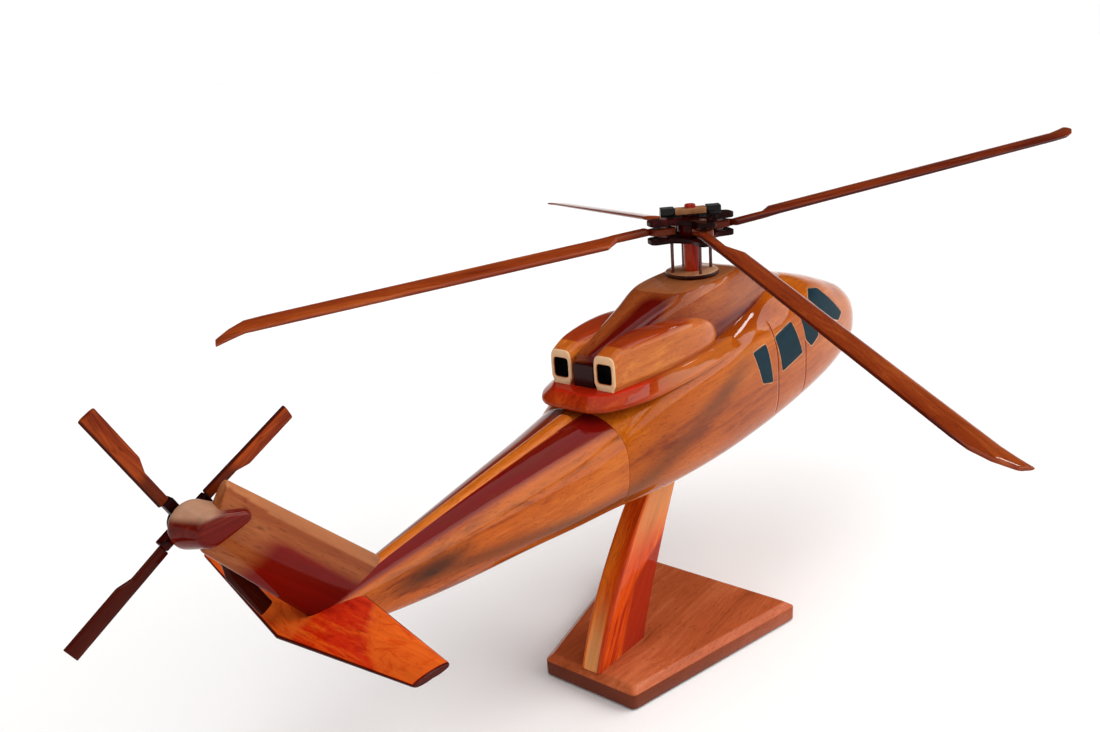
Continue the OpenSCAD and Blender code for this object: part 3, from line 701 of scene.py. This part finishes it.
def lens(p, q, thick, across, sides=72):
    """Lens section of a blade or fin, from leading point p to trailing point q."""
    p, q, across = (np.asarray(v, float) for v in (p, q, across))
    a = circle(sides)
    bulge = signed_power(np.sin(a), 0.8)
    return (p + q) / 2 + np.outer(np.cos(a), (q - p) / 2) + np.outer(bulge, across * thick / 2)


# Leading and trailing edges of the fin, as (x, z) at the foot and at the top
FIN_LEAD, FIN_TRAIL = ((-191, -77.5), (-247, -21.4)), ((-226, -79), (-258.5, -38))
FIN_THICK = (6.4, 5)


def edge_x(edge, z):
    (foot_x, foot_z), (top_x, top_z) = edge
    return np.interp(z, (foot_z, top_z), (foot_x, top_x))


def build_fin():
    rings = []
    for t in np.linspace(0, 1, 50):
        p, q = ([a[0] + t * (b[0] - a[0]), 0, a[1] + t * (b[1] - a[1])] for a, b in (FIN_LEAD, FIN_TRAIL))
        rings.append(lens(p, q, FIN_THICK[0] + t * (FIN_THICK[1] - FIN_THICK[0]), (0, 1, 0)))
    verts, faces = skin(rounded_end(rings, 0.9))
    x, y, z = verts.T
    # Distances across the fin: 0 at the leading edge, 1 at the trailing edge
    lead, trail = edge_x(FIN_LEAD, z), edge_x(FIN_TRAIL, z)
    across = np.clip((lead - x) / (lead - trail), 0, 1)
    # Painted reflections: a dark red patch low on the trailing half and a darker line behind the leading
    # edge; the pale leading edge is a painted highlight
    low = 1 - ease(z + 10 * across, -45, -35)
    tone = 1.2 * low * ease(across, 0.34, 0.52) + 0.25 * bump_at(across, 0.22, 0.08)
    tone = np.where(across < 0.17, -0.45, tone)
    slant = math.atan2(56.1, 56)

    def along(co):
        c, s = math.cos(slant), math.sin(slant)
        return np.stack([-c * co[:, 0] + s * co[:, 2], co[:, 1], s * co[:, 0] + c * co[:, 2]], 1)

    piece("fin", verts, faces, "fin", "airframe", ["tail_fin"], "fin_wood", tone=tone, grain=along, crease=50)


# Leading and trailing x of the stabilator in its middle and at its tips, half its span, and its turn
STAB_MIDDLE, STAB_TIP, STAB_REACH = (-210, -240.6), (-220.8, -233.2), 56.8
STAB_PIVOT_X, STAB_ASKEW = -226, -5.7


def build_stabilator():
    rings = []
    for s in np.linspace(-1, 1, 101):
        f = abs(s)
        p, q = ([a + f * (b - a), s * STAB_REACH, -76.2 + 4.6 * f] for a, b in zip(STAB_MIDDLE, STAB_TIP))
        rings.append(lens(p, q, 3.6 - 1.2 * f, (0, 0, 1)))
    verts, faces = skin(rounded_ends(rings, 0.7))
    x, y, z = verts.T
    f = np.abs(y) / STAB_REACH
    lead, trail = (a + f * (b - a) for a, b in zip(STAB_MIDDLE, STAB_TIP))
    across = np.clip((lead - x) / (lead - trail), 0, 1)
    rim = np.maximum(1 - ease(across, 0.01, 0.03), ease(f, 0.975, 0.99))
    rim = np.maximum(ease(across, 0.965, 0.995), rim)
    inner, outer = 10 * across - 4, 10 + 32 * across
    red = ease(-y, inner - 2, inner + 2) * (1 - ease(-y, outer - 2, outer + 3))
    askew = CRAFT @ at(STAB_PIVOT_X, 0, 0) @ turned("Z", STAB_ASKEW) @ at(-STAB_PIVOT_X, 0, 0)
    piece("stabilator", verts, faces, "stabilator", "airframe", ["stabilator"], "stab_wood",
          place=askew, tone=np.where(rim > 0.3, 1.0, -0.9 * (1 - red)),
          grain=lambda co: co[:, [1, 0, 2]], crease=60)


DECK_HALF = 27
DECK_EDGE = [(14, 21), (4, 25), (-20, DECK_HALF), (-50, DECK_HALF), (-75, 24.6), (-88, 20), (-95, 15),
             (-98, 10)]
# Distance in from the edge, and height
DECK_STEPS = [(0.5, -55.2), (0.15, -55.0), (0, -54.7), (0, -53.9), (0.15, -53.4), (0.6, -53), (3.9, -50.2),
              (4.4, -49.85), (5.0, -49.65), (6.0, DECK_TOP)]


def build_deck():
    def level(inset, z):
        share = (DECK_HALF - inset) / DECK_HALF
        port = [(x + inset if x < 0 else x, y * share) for x, y in DECK_EDGE]
        smooth = round_corners(port + [(x, -y) for x, y in reversed(port)], 9, 8)
        return np.column_stack([smooth, np.full(len(smooth), z)])

    verts, faces = skin([level(inset, z) for inset, z in DECK_STEPS])
    x, y, z = verts.T
    # The rear of the top is stained red, a painted dark reflection; forward the deck is pale, a painted
    # highlight along its rim
    top = ease(z, -50.4, -49.9)
    tone = 0.95 * top * (1 - ease(x, -76, -55)) - 0.95 * ease(x, -82, -50)
    piece("engine_deck", verts, faces, "deck", "airframe", ["engine_deck"], "body_wood", tone=tone, crease=40)


def soft_top(z, roof, radius):
    """Heights kept under roof, with a small curve where they meet it."""
    d = (roof - z) / radius
    return roof - radius * np.where(d > 30, d, np.log1p(np.exp(np.clip(d, -60, 30))))


def build_pylon():
    body = Carved(PYLON)
    rings = [body.ring(x, 200) for x in stations(PYLON[0][X], PYLON[-1][X], 150)]
    for r in rings:
        r[:, 2] = np.maximum(soft_top(r[:, 2], -MAST_H, 0.22), DECK_TOP - 4)
    verts, faces = skin(rounded_end(rings, 0.5, at_start=True))
    x, y, z = verts.T
    # Painted reflections: dark red along the rear of the crown's starboard side and low on the cheeks, and a
    # pale flat top under the mast
    crown = np.clip((z + 50) / 22, 0, 1)
    ridge = 1.3 * ease(bump_at(y, -6.5, 6.5), 0, 0.5) * (1 - ease(x, -44, -30)) * ease(crown, 0.2, 0.5)
    cheek = 1.1 * ease(bump_at(z, -46, 5), 0, 0.6) * ease(x, -20, -6) * (1 - ease(x, 30, 46))
    tone = np.where(z > -MAST_H - 0.25, -0.45, np.maximum(ridge, cheek))
    piece("pylon", verts, faces, "pylon", "airframe", ["pylon"], "body_wood", tone=tone, crease=40)


NACELLE_SIDES = 128
MOUTH_Y, MOUTH_Z = NACELLE[0][MIDDLE], -42.7
# x, half width and half height of the rings of the square mouth and of its black liner
MOUTH = [(-81, 3.3, 3.9), (-85.7, 3.4, 4.0), (-86.25, 3.5, 4.1), (-86.5, 3.85, 4.45)]
LINER = [(-81.2, 3.0, 3.6), (-81.2, 3.28, 3.88), (-86.1, 3.36, 3.96), (-86.15, 3.26, 3.86),
         (-81.6, 3.2, 3.8), (-81.6, 0.4, 0.4)]


def mouth_ring(side, x, half_y, half_z):
    a = circle(NACELLE_SIDES, 0.5)
    return np.stack([np.full(len(a), x), side * MOUTH_Y + half_y * signed_power(np.cos(a), 2 / 6),
                     MOUTH_Z + half_z * signed_power(np.sin(a), 2 / 6)], 1)


def build_nacelle(tag, side):
    body = Carved(NACELLE)
    rings = []
    for x in stations(NACELLE[0][X], NACELLE[-1][X], 110):
        r = body.ring(x, NACELLE_SIDES)
        tuck = ease(-r[:, 2], 46.6, 49.4) * 0.9
        r[:, 1] -= np.sign(r[:, 1]) * np.minimum(tuck, np.abs(r[:, 1]))
        r[:, 1] += side * body.row(x)[MIDDLE]
        r[:, 2] = np.maximum(r[:, 2], DECK_TOP - 1)
        rings.append(r)
    tip = rings[-1]
    rings += [shrunk(tip, share, step) for share, step in ((0.8, 0.5), (0.5, 0.9), (0.15, 1.1))]
    # The rear face: a rounded rim, then the square opening cut into it
    rings = rounded_end(rings, 0.5, at_start=True)
    opening = [mouth_ring(side, *row) for row in MOUTH]
    verts, faces = skin(opening + rings)
    x, y, z = verts.T
    inside = np.arange(len(verts)) < len(MOUTH) * NACELLE_SIDES
    # The rear face round the mouth is pale, a painted highlight; the top is darker, a painted dark
    # reflection; the outer side is a little paler
    rim = (x < -85.8) & ~inside
    crown = 0.7 * ease(z, -34.4, -33) * (x > -80) - 0.06 * ease(side * y - MOUTH_Y, 2, 6)
    tone = np.where(rim, -0.9, np.where(inside, 0.0, crown))
    piece(f"nacelle_{tag}", verts, faces, "nacelle", "airframe", [f"nacelle_{tag}"], "body_wood",
          tone=tone, crease=40)
    liner = skin([mouth_ring(side, *row) for row in LINER])
    piece(f"exhaust_{tag}", *liner, "black", "airframe", [f"exhaust_liner_{tag}"], "liner", crease=40)


def build_vent():
    plate = [(-4.8, -50.2), (4.8, -50.2), (4.8, -40.2), (-4.8, -40.2)]
    verts, faces = slab(round_corners(plate, 0.8, 5), 84, 86, 0.25)
    verts = np.stack([-verts[:, 2], verts[:, 0], verts[:, 1]], 1)
    piece("rear_vent", verts, faces, "vent", "airframe", ["rear_vent"], "liner", crease=40)


SIDES = (("stbd", -1), ("port", 1))
# Corners as (x, z) on the cabin's side, and as (y, z) on its nose
PANES = {
    "window_aft": [(3.2, -59), (17, -58.8), (20.8, -78.5), (10.7, -76)],
    "window_mid": [(27, -58.5), (45.6, -56), (53.6, -74), (31, -76.5)],
    "window_fwd": [(56, -55), (62, -54.5), (74.2, -71), (64.7, -74), (58.2, -69)],
    "window_cockpit": [(72, -52), (79, -48.8), (91, -51.5), (111, -69.5), (104, -72), (88, -66)],
}
WINDSCREEN = [(1.2, -57.5), (13, -60), (18.5, -74), (1.2, -73)]
# Offset from the outline and height above the cabin, for the rings of a pane and of its wooden rim
PANE_LEVELS = [(-0.02, -0.4), (-0.02, -0.05), (-0.12, 0.1), (-0.3, 0.17), (-0.7, 0.2)]
RIM_LEVELS = [(0.62, -0.15), (0.55, 0.02), (0.42, 0.09), (0.25, 0.09), (0.1, 0.02), (0.02, -0.2)]


def on_side(side):
    return lambda x, z, lift: (x, side * CABIN_BODY.side(x, z, lift), z)


def on_nose(side):
    return lambda y, z, lift: (CABIN_BODY.front(y, z, lift), side * y, z)


def bands_round(outline, surface, levels):
    return [[surface(*p, lift) for p in offset(outline, grow)] for grow, lift in levels]


def build_windows():
    shapes = [(f"{name}_{tag}", points, on_side(side)) for name, points in PANES.items()
              for tag, side in SIDES]
    shapes += [(f"windscreen_{tag}", WINDSCREEN, on_nose(side)) for tag, side in SIDES]
    rims = []
    for name, points, surface in shapes:
        outline = spread(round_corners(points, 1.5, 6), 0.8)
        middle = outline.mean(0)
        grow, lift = PANE_LEVELS[-1]
        rings = bands_round(outline, surface, PANE_LEVELS)
        for share in (0.82, 0.62, 0.42, 0.22, 0.05):
            rings.append([surface(*(middle + (p - middle) * share), lift) for p in offset(outline, grow)])
        piece(name, *skin(rings), "pane", "airframe", [name], "pane", crease=50)
        rims.append(skin(bands_round(outline, surface, RIM_LEVELS), caps=False))
    # The bead round each pane is pale wood; its pale colour is a painted highlight where the bevelled edge
    # catches the light
    piece("pane_rims", *merge(*rims), "rim", "airframe", slot="body_wood", crease=60)


# ---- Rotor head and main blades ----
HEADING = -35.5
PLATE_T, PLATE_LOW, PLATE_GAP = 2.4, -7.8, 5.6
PLATE_HIGH = PLATE_LOW + PLATE_T + PLATE_GAP
HEAD_TOP = PLATE_HIGH + PLATE_T
ROOT_Z = PLATE_LOW + PLATE_T + PLATE_GAP / 2
BOLT_R, ROD_R = 13, 9.3
RING_R, RING_LOW, RING_HIGH = 12, -MAST_H + 0.4, -MAST_H + 2.0
# One arm of a hub plate, as (x, y) from the notch before it
PLATE_ARM = [(7.4, -7.4), (11, -4.2), (18.4, -4.2), (20, -2.6), (20, 2.6), (18.4, 4.2), (11, 4.2)]
ABSORBER_TURN = turned("Z", -51)
WEIGHT_OUT = 10.2


def heading(i):
    return turned("Z", HEADING + 90 * i)


def head_piece(name, part, mat, slot, **looks):
    """A piece of the rotor head that stands for the CAD node of its own name."""
    piece(name, *part, mat, "main_rotor", [name], slot, crease=35, **looks)


def round_the_head(parts, radius):
    """The same parts at each blade's heading."""
    return merge(*[moved(part, heading(i) @ at(radius, 0, 0)) for i in range(4) for part in parts])


def build_mast():
    bottom = -MAST_H - 20.5
    shaft = lathe([(AXIS, bottom), (3.5, bottom), (3.5, PLATE_LOW)])
    stub = lathe([(2.5, PLATE_LOW - 0.1), (2.5, 7.3), (2.35, 7.75), (2.0, 8.0), (1.4, 8.1), (AXIS, 8.1)])
    head_piece("mast", merge(shaft, stub), "mast", "mast_wood", grain=lambda co: co[:, [2, 0, 1]])
    ring = disc(RING_R, RING_LOW, RING_HIGH, 0.35, 3.5)
    radius = np.hypot(ring[0][:, 0], ring[0][:, 1])
    head_piece("swash_ring", ring, "ring", "dark_wood", tone=np.where(radius > RING_R - 0.3, 1.0, 0.0))
    head_piece("pitch_rods", round_the_head([disc(0.75, RING_HIGH, PLATE_LOW, 0.1)], ROD_R), "rod", "rods")


def bolt_head(z, sign):
    """The domed end of a bolt, above z or below it."""
    profile = ((AXIS, 0), (1.7, 0), (1.7, 0.2), (1.45, 0.4), (0.9, 0.5), (AXIS, 0.5))
    return lathe([(r, z + sign * height) for r, height in profile], 40)


def build_hub():
    outline = [tuple((heading(i) @ Vector((*p, 0)))[:2]) for i in range(4) for p in PLATE_ARM]
    outline = round_corners(outline, 1.6, 5)
    for name, z in (("hub_plate_lower", PLATE_LOW), ("hub_plate_upper", PLATE_HIGH)):
        head_piece(name, slab(outline, z, z + PLATE_T, 0.35), "ebony", "dark_wood")
    gap_low = PLATE_LOW + PLATE_T
    spacer = disc(6, gap_low, PLATE_HIGH, 0.05)
    head_piece("hub_spacer", spacer, "ebony", "dark_wood", tone=np.full(len(spacer[0]), 0.8))
    bolt = [bolt_head(HEAD_TOP, 1), bolt_head(PLATE_LOW, -1), disc(0.9, PLATE_LOW, HEAD_TOP, 0.02)]
    head_piece("blade_bolts", round_the_head(bolt, BOLT_R), "rod", "rods")
    washers = [disc(2.6, z, z + 1.2, 0.15) for z in (gap_low, ROOT_Z + 1.6)]
    head_piece("blade_washers", round_the_head(washers, BOLT_R), "rod", "rods")


def build_absorber():
    """The short bar with a dark block at each end, on top of the head."""
    head_piece("absorber_collar", disc(3.7, HEAD_TOP, 3.8, 0.1), "ebony", "dark_wood")
    bar = moved(slab(oblong(6.9, 2.8, 0.4, 4), 3.8, 6.4, 0.3), ABSORBER_TURN)
    head_piece("absorber_bar", bar, "rim", "mast_wood")
    block = slab(oblong(3.3, 2.9, 0.9, 5), 3.2, 7.0, 0.5)
    blocks = [moved(block, ABSORBER_TURN @ at(WEIGHT_OUT * s, 0, 0)) for s in (1, -1)]
    head_piece("absorber_weights", merge(*blocks), "black", "weights")


ROTOR_R, CHORD, PIVOT_R = 208, 13.2, 17
BLADE_START = 8.5
# Each blade's own droop and twist in degrees, sweep of the tip, and least stain
DROOP, TWIST = (-6.3, 5.7, 4.7, 9.5), (3, 8, -10, -10)
SWEEP, DARKER = (1.3, 1, 1.7, 1), (0.1, 0.3, 0, 0.22)
LE, TE, NECK_TE = -0.43, 0.5, 0.06
# Share of the radius, leading and trailing edge in chords, and thickness
BLADE_ROWS = [[0.1, LE, NECK_TE, 1], [0.14, LE, NECK_TE, 1], [0.17, LE, NECK_TE, 0.96], [0.2, LE, TE, 0.9],
              [0.55, LE, TE, 0.84], [0.91, LE, TE, 0.74], [0.945, LE + 0.04, TE, 0.7],
              [0.975, LE + 0.24, TE + 0.06, 0.6], [1, LE + 0.6, TE + 0.14, 0.46]]


def blade_ring(r, i, sides=96):
    """Section of main blade i at radius r: a rounded oblong at the root, a lens further out."""
    share, *columns = np.array(BLADE_ROWS).T
    lead, trail, thick = (np.interp(r / ROTOR_R, share, column) for column in columns)
    back = (SWEEP[i] - 1) * 9 * max(0, r / ROTOR_R - 0.945)
    front, rear = (r, (lead + back) * CHORD, 0), (r, (trail + back) * CHORD, 0)
    blade = lens(front, rear, 3.0 * thick, (0, 0, 1), sides)
    a = np.pi + circle(sides)
    root = np.stack([np.full(sides, r), 3.25 * signed_power(np.cos(a), 2 / 7),
                     -1.6 * signed_power(np.sin(a), 2 / 7)], 1)
    t = float(ease(r, PIVOT_R, 0.1 * ROTOR_R))
    x, y, z = ((1 - t) * root + t * blade).T
    b = math.radians(TWIST[i]) * t
    return np.stack([x, y * math.cos(b) - z * math.sin(b), y * math.sin(b) + z * math.cos(b)], 1)


def build_blades():
    spans = ((BLADE_START, 46, 70), (46, 185, 60), (185, ROTOR_R, 50))
    radii = sorted({r for low, high, count in spans for r in np.linspace(low, high, count).tolist()})
    for i, droop in enumerate(DROOP):
        flat, faces = skin(rounded_ends([blade_ring(r, i) for r in radii], 0.4))
        x, y, z = flat.T
        d, a = x - PIVOT_R, math.radians(droop)
        bent = np.stack([PIVOT_R + d * math.cos(a) + z * math.sin(a), y,
                         z * math.cos(a) - d * math.sin(a)], 1)
        verts = np.where((d > 0)[:, None], bent, flat)
        across = np.clip(y / CHORD - LE, 0, 1)
        edges = 0.9 * (1 - ease(across, 0.03, 0.1)) * (x > 20) + 0.35 * ease(across, 0.85, 0.92)
        root = 0.6 * (1 - ease(x, 22, 40))
        name = f"main_blade_{i + 1}"
        piece(name, verts, faces, "blade", "main_rotor", [name], "blade_wood",
              place=CRAFT @ heading(i) @ at(0, 0, ROOT_Z),
              tone=np.maximum(np.maximum(edges, root), DARKER[i]),
              grain=lambda co, k=i: co + np.array([0, 37.0 * k, 11.0 * k]), crease=50)


# ---- Tail rotor ----
TAIL_X, TAIL_Z, TAIL_HUB_Y = -256.4, -32.2, 6.6
TAIL_R, TAIL_CHORD, TAIL_HEADING = 42.6, 5.6, 26.5
TAIL_LAG = (0.8, 0, -2.5, 0)
TAIL_START, TAIL_LE, TAIL_TE, TAIL_NECK = 9, -0.46, 0.47, 0.18
STAINED_TAIL_BLADES = (1, 2)


def build_gearbox():
    bm = bmesh.new()

    def dots(radius, y, x=0.0, z=0.0, count=48):
        for k in range(count):
            a = 2 * math.pi * k / count
            bm.verts.new((TAIL_X + x + radius * math.cos(a), y, TAIL_Z + z + radius * math.sin(a)))

    # A drum on the rotor's side, a smaller one on the other, and a nose of radius 2.2 in front
    for radius, y in ((6.6, 6.2), (7, 5.8), (7, 4.7)):
        dots(radius, y)
    for radius, y in ((4.8, -3.6), (4.4, -4.3), (3.6, -4.6)):
        dots(radius, y, 0.6)
    for k in range(1, 8):
        a = math.pi * k / 8
        dots(2.2 * math.sin(a), -2.6 - 2.2 * math.cos(a), 11, -0.6, 24)
    bmesh.ops.convex_hull(bm, input=bm.verts)
    for v in [v for v in bm.verts if not v.link_faces]:
        bm.verts.remove(v)
    data = bpy.data.meshes.new("hull")
    bm.to_mesh(data)
    bm.free()
    rough = bpy.data.objects.new("hull", data)
    bpy.context.scene.collection.objects.link(rough)
    mod = rough.modifiers.new("even", "REMESH")
    mod.mode, mod.voxel_size = "VOXEL", 0.35
    mod = rough.modifiers.new("soften", "SMOOTH")
    mod.factor, mod.iterations = 0.5, 8
    done = rough.evaluated_get(bpy.context.evaluated_depsgraph_get()).to_mesh()
    verts = np.array([v.co[:] for v in done.vertices])
    faces = [tuple(p.vertices) for p in done.polygons]
    bpy.data.objects.remove(rough)
    y, height = verts[:, 1], verts[:, 2] - TAIL_Z
    # The top is paler, a painted highlight; a darker red band runs at axis height on the starboard part
    tone = 0.85 * bump_at(height, -1.5, 4.5) * (y < 3) - 0.5 * ease(height, 3, 5)
    piece("tail_gearbox", verts, faces, "gearbox", "airframe", ["tail_gearbox"], "body_wood",
          tone=tone, crease=60)


def build_tail_rotor():
    place = CRAFT @ at(TAIL_X, TAIL_HUB_Y, TAIL_Z) @ turned("X", -90)
    arm = slab(round_corners([(0, -1.6), (9, -1.6), (9, 1.6), (0, 1.6)], 0.5, 4), 0.5, 3.5, 0.3)
    arms = [moved(arm, turned("Z", -TAIL_HEADING + 90 * i)) for i in range(4)]
    piece("tail_hub", *merge(disc(4.4, 0, 4, 0.4), *arms), "ebony", "tail_rotor", ["tail_hub"], "dark_wood",
          place=place, crease=35)
    cap = lathe([(2.38, 4.0), (2.2, 4.4), (1.75, 4.75), (1.1, 4.95), (0.5, 5.0), (AXIS, 5.0)], 48)
    piece("tail_cap", *cap, "button", "tail_rotor", ["tail_cap"], "cap", place=place, crease=40)
    rings = []
    for r in np.linspace(TAIL_START, TAIL_R, 70):
        trail = np.interp(r / TAIL_R, (0.46, 0.56), (TAIL_NECK, TAIL_TE))
        rings.append(lens((r, TAIL_LE * TAIL_CHORD, 0), (r, trail * TAIL_CHORD, 0), 1.8, (0, 0, 1), 48))
    verts, faces = skin(rounded_ends(rings, 0.3))
    across = verts[:, 1] / TAIL_CHORD - TAIL_LE
    edge = 0.95 * (1 - ease(across, 0.06, 0.16))
    tone = np.maximum(edge, 0.7 * (1 - ease(verts[:, 0], 17, 22)))
    for i, lag in enumerate(TAIL_LAG):
        name = f"tail_blade_{i + 1}"
        piece(name, verts, faces, "tail_blade", "tail_rotor", [name], "tail_blade_wood",
              place=place @ at(0, 0, 2) @ turned("Z", -TAIL_HEADING + 90 * i + lag),
              tone=np.maximum(tone, 0.9) if i in STAINED_TAIL_BLADES else tone, crease=50)


# ---- Stand ----
BASE_LENGTH, BASE_REAR, BASE_FRONT = 102.2, 47.6, 96.4
# Height, and how far the straight sides stand out from the outline
BASE_LEVELS = [(0.8, -0.5), (0.95, -0.15), (1.3, 0), (7.4, 0), (7.8, -0.08), (8.1, -0.3), (9.9, -2.6),
               (10.15, -2.9), (10.3, -3.5)]
# Start, pull and end of the curves of the post's rear and front edge, as (x, z)
POST_REAR = ((-49.5, 10.3), (-38.2, 47.4), (0.5, 88))
POST_FRONT = ((-14.4, 10.3), (-1, 48.6), (21.5, 88))
POST_HALF, POST_RINGS = 5, 60


def build_base():
    x, rear, front = BASE_LENGTH / 2, BASE_REAR / 2, BASE_FRONT / 2
    outline = [(-x, -rear), (x, -front), (x, front), (-x, rear)]
    verts, faces = skin([[(p[0], p[1], z) for p in round_corners(mitred(outline, grow), 2.2, 6)]
                         for z, grow in BASE_LEVELS])
    x, y, z = verts.T
    # Sides darker than the top, the rear end darker still as painted shade, and darker again along the foot
    tone = np.where(x < -46, 0.78, 0.3) * (z < 7.7) + 0.4 * (z < 1.0)
    piece("stand_base", verts, faces, "base", "airframe", ["stand_base"], "base_wood", place=STAND, tone=tone,
          crease=35)


def bow(curve, t):
    a, b, c = curve
    return [(1 - t) ** 2 * a[k] + 2 * t * (1 - t) * b[k] + t * t * c[k] for k in (0, 1)]


def post_tone(u, v, t, wide):
    """Painted light and shade on the post at u across its cheek, v across its rear edge and a share t of its
    height: the lower rear face and upper cheek are pale, painted highlights; the rear corners and the lower
    front of the cheek are deep red, painted shade.
    """
    rear = bump_at(u, 0, 1.2) * (abs(v) < 3.4)
    corner = bump_at(u, 1.0, 1.4) * bump_at(abs(v), POST_HALF - 0.6, 1.6)
    cheek = abs(v) > 4.4
    boundary = 0.45 + 0.62 * ease(t, 0.38, 0.66)
    red = cheek * ease(u / wide, boundary - 0.05, boundary + 0.07)
    pale = cheek * ease(t, 0.5, 0.8)
    return 1.1 * corner - 0.95 * rear * (1 - ease(t, 0.08, 0.5)) - 0.72 * pale + 0.85 * red


def build_post():
    rings, tones = [], []
    for t in np.linspace(0, 1, POST_RINGS):
        p, q = bow(POST_REAR, t), bow(POST_FRONT, t)
        wide = math.hypot(q[0] - p[0], q[1] - p[1])
        box = round_corners([(0, -POST_HALF), (wide, -POST_HALF), (wide, POST_HALF), (0, POST_HALF)], 1.3, 6)
        spots = split_sides(box, 3, 12)
        rings.append(np.array([(p[0] + (q[0] - p[0]) * u / wide, v, p[1] + (q[1] - p[1]) * u / wide)
                               for u, v in spots]))
        tones.append([post_tone(u, v, t, wide) for u, v in spots])
    verts, faces = skin(rings)
    lean = math.atan2(38, 26)

    def along(co):
        c, s = math.cos(lean), math.sin(lean)
        return np.stack([s * co[:, 2] + c * co[:, 0], co[:, 1], c * co[:, 2] - s * co[:, 0]], 1)

    piece("stand_post", verts, faces, "post", "airframe", ["stand_post"], "post_wood", place=STAND,
          grain=along, tone=np.array([tones[0]] + tones + [tones[-1]]).ravel(), crease=40)


def finish_small_parts():
    """CAD pieces that are right as they are get their materials."""
    for node, mat in (("base_felt", "felt"), ("post_screws", "steel"), ("tail_pin", "steel"),
                      ("mast_bushing", "brass"), ("tail_bushing", "brass")):
        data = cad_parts[node].data
        data.materials.clear()
        data.materials.append(MATS[mat])


add_camera()
add_studio()
build_cabin()
build_boom()
build_spine()
build_fin()
build_stabilator()
build_deck()
build_pylon()
for side_name, side_sign in SIDES:
    build_nacelle(side_name, side_sign)
build_vent()
build_windows()
build_mast()
build_hub()
build_absorber()
build_blades()
build_gearbox()
build_tail_rotor()
build_base()
build_post()
finish_small_parts()
